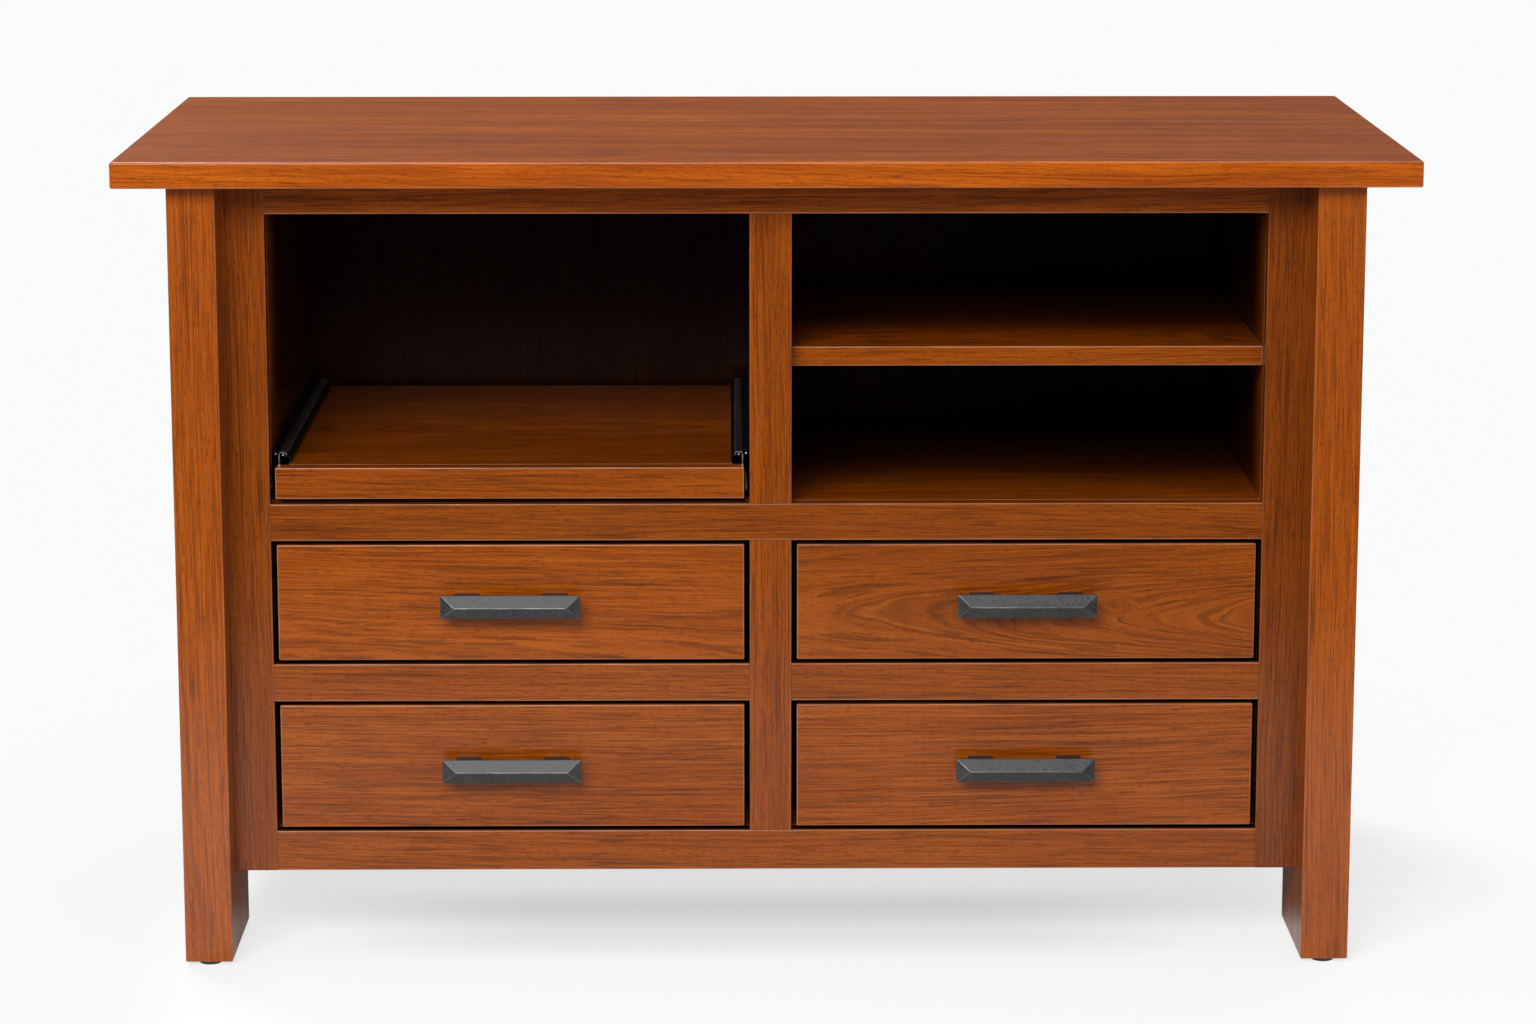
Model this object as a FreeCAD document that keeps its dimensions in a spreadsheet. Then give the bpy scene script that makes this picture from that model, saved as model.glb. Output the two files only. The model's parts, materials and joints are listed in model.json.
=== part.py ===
import FreeCAD, Part
import os
import re

import Sketcher

# Wide storage cabinet on four slab legs: a pull-out shelf bay and an open shelf bay above four drawers.
# Millimetres. X runs to the right, -Y is the front and +Z is up. The origin is on the floor,
# below the middle of the top.

doc = FreeCAD.newDocument("StorageCabinet")

# Driving sizes: name, millimetres, what it measures
SIZES = (
    ("top_width", 1372, "top panel, left to right"),
    ("top_depth", 635, "top panel, front to back"),
    ("top_thickness", 28, "top panel"),
    ("top_ease", 2.5, "rounding of the top panel's edges"),
    ("side_overhang", 55, "top panel past the legs at each side"),
    ("front_overhang", 24, "top panel past the front legs"),
    ("back_overhang", 12, "top panel past the back legs"),
    ("leg_width", 51, "leg, left to right"),
    ("leg_depth", 155, "leg, front to back"),
    ("leg_ease", 1.5, "rounding of the leg's edges"),
    ("glide_height", 4, "glide disc under a leg"),
    ("glide_diameter", 25, "glide disc"),
    ("glide_ease", 1.2, "rounding of the glide's lower rim"),
    ("glide_inset", 15, "glide centre to the leg's outer end face"),
    ("nail_diameter", 3, "nail of a glide"),
    ("nail_length", 18, "nail of a glide, above the disc"),
    ("case_clearance", 89, "foot of the leg to the case"),
    ("bottom_rail_height", 44, "face frame"),
    ("lower_opening_height", 146, "opening of a lower drawer"),
    ("drawer_rail_height", 41, "face frame, between drawers"),
    ("upper_opening_height", 137, "opening of an upper drawer"),
    ("mid_rail_height", 40, "face frame, below the bays"),
    ("bay_height", 315, "open bays"),
    ("top_rail_height", 36, "face frame, below the top panel"),
    ("face_setback", 47, "face frame behind the front of the legs"),
    ("face_thickness", 20, "face frame"),
    ("stile_width", 46, "left and right stiles"),
    ("centre_stile_width", 45, "centre stiles"),
    ("centre_stile_offset", 4, "centre stiles to the right of the cabinet's middle"),
    ("frame_ease", 0.8, "rounding along the face frame's pieces"),
    ("wall_thickness", 18, "case sides, dividers, floors and bottom"),
    ("dado_depth", 6, "dado that holds a floor in a wall"),
    ("spacer_width", 50, "spacer strips, front to back"),
    ("cleat_height", 28, "cleats that hold the top panel"),
    ("side_rail_height", 60, "rails of the side frames"),
    ("side_rail_thickness", 25, "rails of the side frames"),
    ("side_recess", 6, "side rails behind the outer face of the legs"),
    ("side_panel_thickness", 12, "side panels"),
    ("panel_groove_depth", 10, "groove round a side panel"),
    ("panel_clearance", 0.2, "play of a side panel in its groove"),
    ("back_thickness", 6, "back panel"),
    ("back_rail_thickness", 18, "back rails"),
    ("back_rail_height", 36, "back rails"),
    ("back_inset", 8, "back rails in front of the back of the legs"),
    ("port_diameter", 60, "cable port in the back panel"),
    ("port_drop", 38, "middle of the cable port below the head of the bay"),
    ("top_screw_diameter", 4.5, "screws that hold the top panel"),
    ("top_screw_length", 42, "screws that hold the top panel"),
    ("top_screw_head", 9, "head diameter of a top screw"),
    ("top_screw_head_height", 3, "head of a top screw"),
    ("shelf_thickness", 21, "open shelf"),
    ("shelf_play", 0.5, "open shelf to the wall at each end"),
    ("shelf_back_gap", 3, "open shelf to the back panel"),
    ("shelf_ease", 1.2, "rounding of the shelves' edges"),
    ("pin_diameter", 5, "shelf pins"),
    ("pin_length", 18, "shelf pins"),
    ("pin_inset", 50, "shelf pin to the end of the shelf, front to back"),
    ("strip_height", 34, "front strip of the pull-out shelf"),
    ("strip_thickness", 20, "front strip of the pull-out shelf"),
    ("strip_side_gap", 6, "front strip to the stile at each end"),
    ("strip_floor_gap", 6, "front strip above the bay floor"),
    ("board_thickness", 20, "board of the pull-out shelf"),
    ("board_back_gap", 24, "board of the pull-out shelf to the back panel"),
    ("slide_back_gap", 42, "drawer slides to the back panel"),
    ("slide_height", 45, "drawer slides"),
    ("slide_space", 12.7, "drawer slides, wall to drawer side"),
    ("shelf_slide_space", 19, "slides of the pull-out shelf, wall to board"),
    ("slide_gauge", 1.2, "sheet steel of the slides"),
    ("slide_play", 0.3, "running gap between slide members"),
    ("slide_channel", 9.5, "outer member of a drawer slide, across"),
    ("shelf_slide_channel", 14, "outer members of a shelf slide, across"),
    ("slide_setback", 8, "slides behind the back of the face frame"),
    ("reveal_side", 6, "drawer front to the stile"),
    ("reveal_height", 4.8, "drawer front to the rail above and below"),
    ("front_thickness", 20, "drawer front"),
    ("front_ease", 1.5, "rounding of the drawer front's edges"),
    ("box_thickness", 12, "drawer sides and back"),
    ("box_rise", 12, "drawer side above the foot of its opening"),
    ("box_headroom", 18, "drawer side below the head of its opening"),
    ("box_back_gap", 22, "drawer sides to the back panel"),
    ("housing_depth", 8, "housing of a drawer side in the drawer front"),
    ("bottom_thickness", 6, "drawer bottom"),
    ("bottom_rise", 10, "drawer bottom above the foot of the side"),
    ("bottom_groove", 6, "groove of the drawer bottom"),
    ("bottom_play", 0.2, "play of the drawer bottom in its groove"),
    ("pull_length", 150, "bar of a pull"),
    ("pull_height", 25.5, "bar of a pull"),
    ("pull_edge", 2.5, "square edge of a pull's bar"),
    ("pull_slope", 7.5, "sloped part of a pull's bar, front to back"),
    ("pull_hip", 14.5, "end of the ridge to the end of the bar"),
    ("pull_ridge", 1.2, "flat along the ridge of the bar"),
    ("post_spacing", 96, "posts and screws of a pull"),
    ("post_width", 27, "post of a pull"),
    ("post_height", 21, "post of a pull"),
    ("post_depth", 20, "post of a pull, bar to drawer front"),
    ("pull_screw_diameter", 4, "screw of a pull"),
    ("pull_screw_grip", 12, "screw of a pull in its post"),
    ("pull_screw_head", 8, "head diameter of a pull screw"),
    ("pull_screw_head_height", 3, "head of a pull screw"),
    ("screw_play", 0.2, "screws, nails and pins in their holes, all round"),
    ("overrun", 1, "cuts past the face that they open"),
)

# Places worked out from the sizes: name, formula
PLACES = (
    ("leg_outer", "top_width / 2 - side_overhang"),
    ("leg_inner", "leg_outer - leg_width"),
    ("bay_edge", "leg_inner - stile_width"),
    ("wall_outer", "bay_edge + wall_thickness"),
    ("centre_left", "centre_stile_offset - centre_stile_width / 2"),
    ("centre_right", "centre_stile_offset + centre_stile_width / 2"),
    ("leg_front", "front_overhang - top_depth / 2"),
    ("front_leg_back", "leg_front + leg_depth"),
    ("leg_back", "top_depth / 2 - back_overhang"),
    ("back_leg_front", "leg_back - leg_depth"),
    ("face_front", "leg_front + face_setback"),
    ("face_back", "face_front + face_thickness"),
    ("back_rail_front", "leg_back - back_inset - back_rail_thickness"),
    ("case_back", "back_rail_front - back_thickness"),
    ("case_depth", "case_back - face_back"),
    ("case_bottom", "glide_height + case_clearance"),
    ("lower_opening_foot", "case_bottom + bottom_rail_height"),
    ("drawer_rail_foot", "lower_opening_foot + lower_opening_height"),
    ("upper_opening_foot", "drawer_rail_foot + drawer_rail_height"),
    ("mid_rail_foot", "upper_opening_foot + upper_opening_height"),
    ("bay_floor", "mid_rail_foot + mid_rail_height"),
    ("bay_head", "bay_floor + bay_height"),
    ("top_foot", "bay_head + top_rail_height"),
    ("floor_foot", "bay_floor - wall_thickness"),
    ("bottom_foot", "lower_opening_foot - wall_thickness"),
    ("side_rail_outer", "leg_outer - side_recess"),
    ("side_rail_inner", "side_rail_outer - side_rail_thickness"),
    ("side_panel_inner", "side_rail_inner + side_rail_thickness / 2 - side_panel_thickness / 2"),
    ("side_panel_foot", "case_bottom + side_rail_height - panel_groove_depth + panel_clearance"),
    ("side_panel_head", "top_foot - side_rail_height + panel_groove_depth - panel_clearance"),
    ("cleat_foot", "top_foot - cleat_height"),
    ("cleat_middle", "wall_outer / 2 + leg_inner / 2"),
    ("shelf_foot", "bay_floor + bay_height / 2 - shelf_thickness / 2"),
    ("shelf_back", "case_back - shelf_back_gap"),
    ("strip_foot", "bay_floor + strip_floor_gap"),
    ("board_top", "strip_foot + strip_height"),
    ("board_foot", "board_top - board_thickness"),
    ("shelf_slide_middle", "board_foot + board_thickness / 2"),
    ("board_depth", "case_back - board_back_gap - face_front - strip_thickness"),
    ("slide_front", "face_back + slide_setback"),
    ("slide_length", "case_back - slide_back_gap - slide_front"),
    ("front_back", "face_front + front_thickness"),
    ("box_depth", "case_back - box_back_gap - front_back"),
)


def make_sheet(name, rows):
    sheet = doc.addObject("Spreadsheet::Sheet", name)
    for row, (alias, content, note) in enumerate(rows, start=1):
        sheet.set("A%d" % row, alias)
        sheet.set("B%d" % row, content)
        sheet.setAlias("B%d" % row, alias)
        sheet.set("C%d" % row, note)
    return sheet


SHEET_OF = {name: "Sizes" for name, value, note in SIZES}
SHEET_OF.update({name: "Places" for name, text in PLACES})


def formula(text):
    """Puts the name of its sheet in front of each size or place in a formula."""
    return re.sub(r"[a-z_]+", lambda word: SHEET_OF[word.group()] + "." + word.group(), text)


make_sheet("Sizes", [(name, str(value), note) for name, value, note in SIZES])
make_sheet("Places", [(name, "=" + formula(text), "worked out") for name, text in PLACES])
doc.recompute()

nodes = []
corners = {}


# Ways to make a piece

def bind(item, **formulas):
    for name, text in formulas.items():
        item.setExpression(name, formula(text))


def place(item, corner):
    for axis, text in zip("xyz", corner):
        item.setExpression("Placement.Base." + axis, formula(text))


def within(body, spot):
    """A spot of the cabinet, as formulas in the body's own axes."""
    return ["(%s) - (%s)" % pair for pair in zip(spot, corners[body.Name])]


def add_body(label, corner):
    """An empty body with its origin at corner, given as three formulas."""
    body = doc.addObject("PartDesign::Body", label)
    body.Label = label
    corners[body.Name] = corner
    place(body, corner)
    return body


def keep(piece):
    """Makes a finished piece one of the part's nodes."""
    nodes.append(piece)
    return piece


def group(label, members):
    """One node of separate solids."""
    compound = doc.addObject("Part::Compound", label)
    compound.Label = label
    compound.Links = members
    return keep(compound)


def origin_plane(body, role):
    return next(plane for plane in body.Origin.OriginFeatures if plane.Role == role)


def add_rectangle(body, name, role, width, height, start=("0", "0"), rise="0"):
    """A sketched rectangle on an origin plane, or raised off it, with its low corner at start."""
    sketch = body.newObject("Sketcher::SketchObject", name)
    sketch.AttachmentSupport = (origin_plane(body, role), [""])
    sketch.MapMode = "FlatFace"
    for axis, text in zip("xyz", (*start, rise)):
        sketch.setExpression("AttachmentOffset.Base." + axis, formula(text))
    points = [FreeCAD.Vector(x, y, 0) for x, y in ((0, 0), (1, 0), (1, 1), (0, 1))]
    lines = range(len(points))
    for line in lines:
        sketch.addGeometry(Part.LineSegment(points[line], points[line - len(points) + 1]), False)
    for line in lines:
        after = (line + 1) % len(points)
        sketch.addConstraint(Sketcher.Constraint("Coincident", line, 2, after, 1))
        sketch.addConstraint(Sketcher.Constraint("Vertical" if line % 2 else "Horizontal", line))
    sketch.addConstraint(Sketcher.Constraint("Coincident", 0, 1, -1, 1))
    for kind, line, text in (("DistanceX", 0, width), ("DistanceY", 1, height)):
        index = sketch.addConstraint(Sketcher.Constraint(kind, line, 1, line, 2, 1))
        sketch.setExpression("Constraints[%d]" % index, formula(text))
    return sketch


def pad(body, sketch, length, reverse=False):
    feature = body.newObject("PartDesign::Pad", "Pad")
    feature.Profile = sketch
    feature.Reversed = reverse
    bind(feature, Length=length)


def ease(body, radius, along="xyz"):
    """Rounds the body's straight edges that run along the given axes."""
    doc.recompute()
    base = body.Tip
    chosen = []
    for number, edge in enumerate(base.Shape.Edges, start=1):
        way = edge.tangentAt(edge.FirstParameter)
        if any(abs(getattr(way, axis)) > 1 - Part.Precision.confusion() for axis in along):
            chosen.append("Edge%d" % number)
    fillet = body.newObject("PartDesign::Fillet", "Ease")
    fillet.Base = (base, chosen)
    bind(fillet, Radius=radius)


def add_board(label, size, corner, radius="", along="xyz"):
    """A board of three sizes from its low corner, with the edges along some axes rounded."""
    body = add_body(label, corner)
    pad(body, add_rectangle(body, "Outline", "XY_Plane", size[0], size[1]), size[2])
    if radius:
        ease(body, radius, along)
    return body


def box(body, kind, size, corner):
    """Adds or cuts a box at a spot of the cabinet: kind is Additive or Subtractive."""
    feature = body.newObject("PartDesign::%sBox" % kind, kind + "Box")
    bind(feature, Length=size[0], Width=size[1], Height=size[2])
    place(feature, within(body, corner))


def rod(body, kind, diameter, length, centre, axis):
    """Adds or cuts a cylinder that starts at a spot of the cabinet and runs along +axis."""
    feature = body.newObject("PartDesign::%sCylinder" % kind, kind + "Rod")
    bind(feature, Radius="(%s) / 2" % diameter, Height=length)
    ways = {"x": FreeCAD.Vector(1, 0, 0), "y": FreeCAD.Vector(0, 1, 0), "z": FreeCAD.Vector(0, 0, 1)}
    feature.Placement = FreeCAD.Placement(FreeCAD.Vector(), FreeCAD.Rotation(ways["z"], ways[axis]))
    place(feature, within(body, centre))


def on_side(side, near, far):
    """Where something starts that lies between near and far from the middle, on that side."""
    return near if side == "right" else "-(%s)" % far


# Top panel, cleats and their screws

screw_depth_shares = (0.12, 0.5, 0.88)
screw_spots = [
    (on_side(side, "cleat_middle", "cleat_middle"), "face_back + case_depth * %g" % share)
    for side in ("left", "right")
    for share in screw_depth_shares
]

top_panel = keep(add_board(
    "top_panel",
    ("top_width", "top_depth", "top_thickness"),
    ("-top_width / 2", "-top_depth / 2", "top_foot"),
    "top_ease",
))
top_screws = []
for spot in screw_spots:
    rod(top_panel, "Subtractive", "top_screw_diameter + 2 * screw_play",
        "top_screw_length - cleat_height + screw_play", (*spot, "top_foot"), "z")
    screw = add_body("top_screw", (*spot, "cleat_foot"))
    rod(screw, "Additive", "top_screw_head", "top_screw_head_height", corners[screw.Name], "z")
    rod(screw, "Additive", "top_screw_diameter", "top_screw_length", corners[screw.Name], "z")
    top_screws.append(screw)

cleats = []
for side in ("left", "right"):
    cleat = add_board(
        "top_cleat_" + side,
        ("leg_inner - wall_outer", "case_depth", "cleat_height"),
        (on_side(side, "wall_outer", "leg_inner"), "face_back", "cleat_foot"),
    )
    for spot in screw_spots:
        if spot[0].startswith("-") == (side == "left"):
            rod(cleat, "Subtractive", "top_screw_diameter + 2 * screw_play",
                "cleat_height", (*spot, "cleat_foot"), "z")
            rod(cleat, "Subtractive", "top_screw_head + 2 * screw_play",
                "top_screw_head_height + screw_play", (*spot, "cleat_foot"), "z")
    cleats.append(cleat)
group("top_screws", top_screws)


# Legs with their glides

glides = []
for side in ("left", "right"):
    for end in ("front", "back"):
        leg_start = "leg_front" if end == "front" else "back_leg_front"
        leg = keep(add_board(
            "%s_leg_%s" % (end, side),
            ("leg_width", "leg_depth", "top_foot - glide_height"),
            (on_side(side, "leg_inner", "leg_outer"), leg_start, "glide_height"),
            "leg_ease",
        ))
        box(leg, "Subtractive",
            ("side_panel_thickness + 2 * panel_clearance", "panel_groove_depth + overrun",
             "side_panel_head - side_panel_foot + 2 * panel_clearance"),
            (on_side(side, "side_panel_inner - panel_clearance",
                     "side_panel_inner + side_panel_thickness + panel_clearance"),
             "front_leg_back - panel_groove_depth" if end == "front" else "back_leg_front - overrun",
             "side_panel_foot - panel_clearance"))
        leg_middle = on_side(side, "leg_inner + leg_width / 2", "leg_inner + leg_width / 2")
        glide_place = "leg_front + glide_inset" if end == "front" else "leg_back - glide_inset"
        rod(leg, "Subtractive", "nail_diameter + 2 * screw_play", "nail_length + screw_play",
            (leg_middle, glide_place, "glide_height"), "z")
        glide = add_body("glide", (leg_middle, glide_place, "0"))
        rod(glide, "Additive", "glide_diameter", "glide_height", corners[glide.Name], "z")
        doc.recompute()
        disc = glide.Tip
        rim = min(range(len(disc.Shape.Edges)), key=lambda number: disc.Shape.Edges[number].BoundBox.ZMax)
        fillet = glide.newObject("PartDesign::Fillet", "Ease")
        fillet.Base = (disc, ["Edge%d" % (rim + 1)])
        bind(fillet, Radius="glide_ease")
        rod(glide, "Additive", "nail_diameter", "nail_length", (leg_middle, glide_place, "glide_height"), "z")
        glides.append(glide)
group("glides", glides)


# Side frames: rails and a floating panel between the legs

rails = []
for side in ("left", "right"):
    for name, foot, groove_foot in (
        ("bottom", "case_bottom", "case_bottom + side_rail_height - panel_groove_depth"),
        ("top", "top_foot - side_rail_height", "top_foot - side_rail_height - overrun"),
    ):
        rail = add_board(
            "side_%s_rail_%s" % (name, side),
            ("side_rail_thickness", "back_leg_front - front_leg_back", "side_rail_height"),
            (on_side(side, "side_rail_inner", "side_rail_outer"), "front_leg_back", foot),
            "frame_ease", "y",
        )
        box(rail, "Subtractive",
            ("side_panel_thickness + 2 * panel_clearance", "back_leg_front - front_leg_back",
             "panel_groove_depth + overrun"),
            (on_side(side, "side_panel_inner - panel_clearance",
                     "side_panel_inner + side_panel_thickness + panel_clearance"),
             "front_leg_back", groove_foot))
        rails.append(rail)
    keep(add_board(
        "side_panel_" + side,
        ("side_panel_thickness",
         "back_leg_front - front_leg_back + 2 * panel_groove_depth - 2 * panel_clearance",
         "side_panel_head - side_panel_foot"),
        (on_side(side, "side_panel_inner", "side_panel_inner + side_panel_thickness"),
          "front_leg_back - panel_groove_depth + panel_clearance", "side_panel_foot"),
    ))
group("side_rails", rails)


# Face frame

def add_frame_piece(label, start, width, foot, height, along):
    keep(add_board(label, (width, "face_thickness", height), (start, "face_front", foot),
                   "frame_ease", along))


for side in ("left", "right"):
    add_frame_piece("stile_" + side, on_side(side, "bay_edge", "leg_inner"), "stile_width",
                    "case_bottom", "top_foot - case_bottom", "z")
for name, foot, height in (
    ("top_rail", "bay_head", "top_rail_height"),
    ("mid_rail", "mid_rail_foot", "mid_rail_height"),
    ("bottom_rail", "case_bottom", "bottom_rail_height"),
):
    add_frame_piece(name, "-bay_edge", "2 * bay_edge", foot, height, "x")
add_frame_piece("centre_stile_upper", "centre_left", "centre_stile_width", "bay_floor", "bay_height", "z")
add_frame_piece("centre_stile_lower", "centre_left", "centre_stile_width", "lower_opening_foot",
                "mid_rail_foot - lower_opening_foot", "z")
add_frame_piece("drawer_rail_left", "-bay_edge", "centre_left + bay_edge", "drawer_rail_foot",
                "drawer_rail_height", "x")
add_frame_piece("drawer_rail_right", "centre_right", "bay_edge - centre_right", "drawer_rail_foot",
                "drawer_rail_height", "x")


# Case: walls with dados, floors, spacer strips and back

openings = {"left": ("-bay_edge", "centre_left"), "right": ("centre_right", "bay_edge")}
walls = {}
for label, start, inner_face, foot in (
    ("case_side_left", "-wall_outer", "-bay_edge - dado_depth", "case_bottom"),
    ("divider_left", "centre_left", "centre_left - overrun", "lower_opening_foot"),
    ("divider_right", "centre_right - wall_thickness", "centre_right - dado_depth", "lower_opening_foot"),
    ("case_side_right", "bay_edge", "bay_edge - overrun", "case_bottom"),
):
    wall = keep(add_board(label, ("wall_thickness", "case_depth", "top_foot - (%s)" % foot),
                          (start, "face_back", foot)))
    box(wall, "Subtractive", ("dado_depth + overrun", "case_depth", "wall_thickness"),
        (inner_face, "face_back", "floor_foot"))
    if label.startswith("case"):
        box(wall, "Subtractive", ("dado_depth + overrun", "case_depth", "wall_thickness"),
            (inner_face, "face_back", "bottom_foot"))
    walls[label] = wall

floors = []
for side, (start, end) in openings.items():
    floors.append(add_board(
        "bay_floor_" + side,
        ("(%s) - (%s) + 2 * dado_depth" % (end, start), "case_depth", "wall_thickness"),
        ("(%s) - dado_depth" % start, "face_back", "floor_foot"),
    ))
group("bay_floors", floors)
keep(add_board("bottom_panel", ("2 * bay_edge + 2 * dado_depth", "case_depth", "wall_thickness"),
               ("-bay_edge - dado_depth", "face_back", "bottom_foot")))

spacers = []
for side in ("left", "right"):
    for spacer_front in ("front_leg_back - spacer_width", "back_leg_front"):
        spacers.append(add_board(
            "side_spacer_" + side,
            ("leg_inner - wall_outer", "spacer_width", "cleat_foot - case_bottom"),
            (on_side(side, "wall_outer", "leg_inner"), spacer_front, "case_bottom"),
        ))
spacer_depth_shares = (0, 0.5, 1)
for share in spacer_depth_shares:
    spacers.append(add_board(
        "core_spacer",
        ("centre_stile_width - 2 * wall_thickness", "spacer_width", "top_foot - lower_opening_foot"),
        ("centre_left + wall_thickness", "face_back + (case_depth - spacer_width) * %g" % share,
         "lower_opening_foot"),
    ))
group("cleats_and_spacers", cleats + spacers)

back_panel = keep(add_board("back_panel", ("2 * leg_inner", "back_thickness", "top_foot - case_bottom"),
                            ("-leg_inner", "case_back", "case_bottom")))
rod(back_panel, "Subtractive", "port_diameter", "back_thickness",
    ("centre_left / 2 - bay_edge / 2", "case_back", "bay_head - port_drop"), "y")
group("back_rails", [
    add_board("back_rail", ("2 * leg_inner", "back_rail_thickness", "back_rail_height"),
              ("-leg_inner", "back_rail_front", foot), "frame_ease", "x")
    for foot in ("case_bottom", "top_foot - back_rail_height")
])


# Open shelf on four pins

shelf_start, shelf_end = openings["right"]
keep(add_board(
    "open_shelf",
    ("(%s) - (%s) - 2 * shelf_play" % (shelf_end, shelf_start), "shelf_back - face_back", "shelf_thickness"),
    ("(%s) + shelf_play" % shelf_start, "face_back", "shelf_foot"),
    "shelf_ease",
))
pins = []
for label, face, outward in (("divider_right", shelf_start, -1), ("case_side_right", shelf_end, 1)):
    hole_start = "(%s) - pin_length / 2 - screw_play" % face if outward < 0 else "(%s) - overrun" % face
    for depth in ("face_back + pin_inset", "shelf_back - pin_inset"):
        height = "shelf_foot - pin_diameter / 2"
        rod(walls[label], "Subtractive", "pin_diameter + 2 * screw_play",
            "pin_length / 2 + screw_play + overrun", (hole_start, depth, height), "x")
        pin = add_body("shelf_pin", ("(%s) - pin_length / 2" % face, depth, height))
        rod(pin, "Additive", "pin_diameter", "pin_length", corners[pin.Name], "x")
        pins.append(pin)
group("shelf_pins", pins)


# Drawer slides: nested channels, the outermost on the cabinet's wall

def add_channel(label, column, hand, middle, nested, web_at_wall, kind):
    """One channel of a slide on the left or right wall of an opening. nested counts the channels around it."""
    start, end = openings[column]
    inset = "%d * (slide_gauge + slide_play)" % nested
    width = kind + "_channel" if web_at_wall else "%s_space - %s" % (kind, inset)
    corner_x = "(%s) + %s" % (start, inset) if hand == "left" else "(%s) - %s - (%s)" % (end, inset, width)
    height = "slide_height - 2 * " + inset
    foot = "(%s) - (%s) / 2" % (middle, height)
    channel = add_board(label, (width, "slide_length", height), (corner_x, "slide_front", foot))
    web_on_left = web_at_wall == (hand == "left")
    hollow_x = "(%s) + slide_gauge" % corner_x if web_on_left else "(%s) - overrun" % corner_x
    box(channel, "Subtractive",
        ("(%s) - slide_gauge + overrun" % width, "slide_length", "(%s) - 2 * slide_gauge" % height),
        (hollow_x, "slide_front", "(%s) + slide_gauge" % foot))
    return channel


def add_channel_pair(label, column, middle, nested, web_at_wall, kind="slide"):
    return [
        add_channel("%s_%s" % (label, hand), column, hand, middle, nested, web_at_wall, kind)
        for hand in ("left", "right")
    ]


# Pull-out shelf

strip_start, strip_end = openings["left"]
keep(add_board(
    "pullout_shelf_strip",
    ("(%s) - (%s) - 2 * strip_side_gap" % (strip_end, strip_start), "strip_thickness", "strip_height"),
    ("(%s) + strip_side_gap" % strip_start, "face_front", "strip_foot"),
    "shelf_ease",
))
keep(add_board(
    "pullout_shelf_board",
    ("(%s) - (%s) - 2 * shelf_slide_space" % (strip_end, strip_start), "board_depth", "board_thickness"),
    ("(%s) + shelf_slide_space" % strip_start, "face_front + strip_thickness", "board_foot"),
))
for nested, name in enumerate(("cabinet", "middle", "shelf")):
    label = "pullout_slide_%s_channels" % name
    group(label, add_channel_pair(label, "left", "shelf_slide_middle", nested, name != "shelf", "shelf_slide"))


# Drawers

def add_pull(label, middle_x, middle_z):
    """A bar with a hipped front on two posts, with the two screws that hold it."""
    pull = add_body(label + "_bar", (middle_x, "face_front", middle_z))
    bar_start = ("-pull_length / 2", "-pull_height / 2")
    slab_front = "post_depth + pull_edge"
    pad(pull, add_rectangle(pull, "Slab", "XZ_Plane", "pull_length", "pull_height", bar_start, "post_depth"),
        "pull_edge")
    roof_foot = add_rectangle(pull, "RoofFoot", "XZ_Plane", "pull_length", "pull_height", bar_start, slab_front)
    ridge = add_rectangle(pull, "Ridge", "XZ_Plane", "pull_length - 2 * pull_hip", "pull_ridge",
                          ("pull_hip - pull_length / 2", "-pull_ridge / 2"), slab_front + " + pull_slope")
    roof = pull.newObject("PartDesign::AdditiveLoft", "Roof")
    roof.Profile = roof_foot
    roof.Sections = [ridge]
    roof.Ruled = True
    pieces = [pull]
    for sign in ("-", "+"):
        post_x = "(%s) %s post_spacing / 2" % (middle_x, sign)
        box(pull, "Additive", ("post_width", "post_depth", "post_height"),
            ("%s - post_width / 2" % post_x, "face_front - post_depth", "(%s) - post_height / 2" % middle_z))
        rod(pull, "Subtractive", "pull_screw_diameter + 2 * screw_play", "pull_screw_grip + screw_play",
            (post_x, "face_front - pull_screw_grip - screw_play", middle_z), "y")
        screw = add_body(label + "_screw", (post_x, "face_front - pull_screw_grip", middle_z))
        rod(screw, "Additive", "pull_screw_diameter", "pull_screw_grip + front_thickness",
            corners[screw.Name], "y")
        rod(screw, "Additive", "pull_screw_head", "pull_screw_head_height",
            (post_x, "front_back", middle_z), "y")
        pieces.append(screw)
    group(label, pieces)


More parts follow.
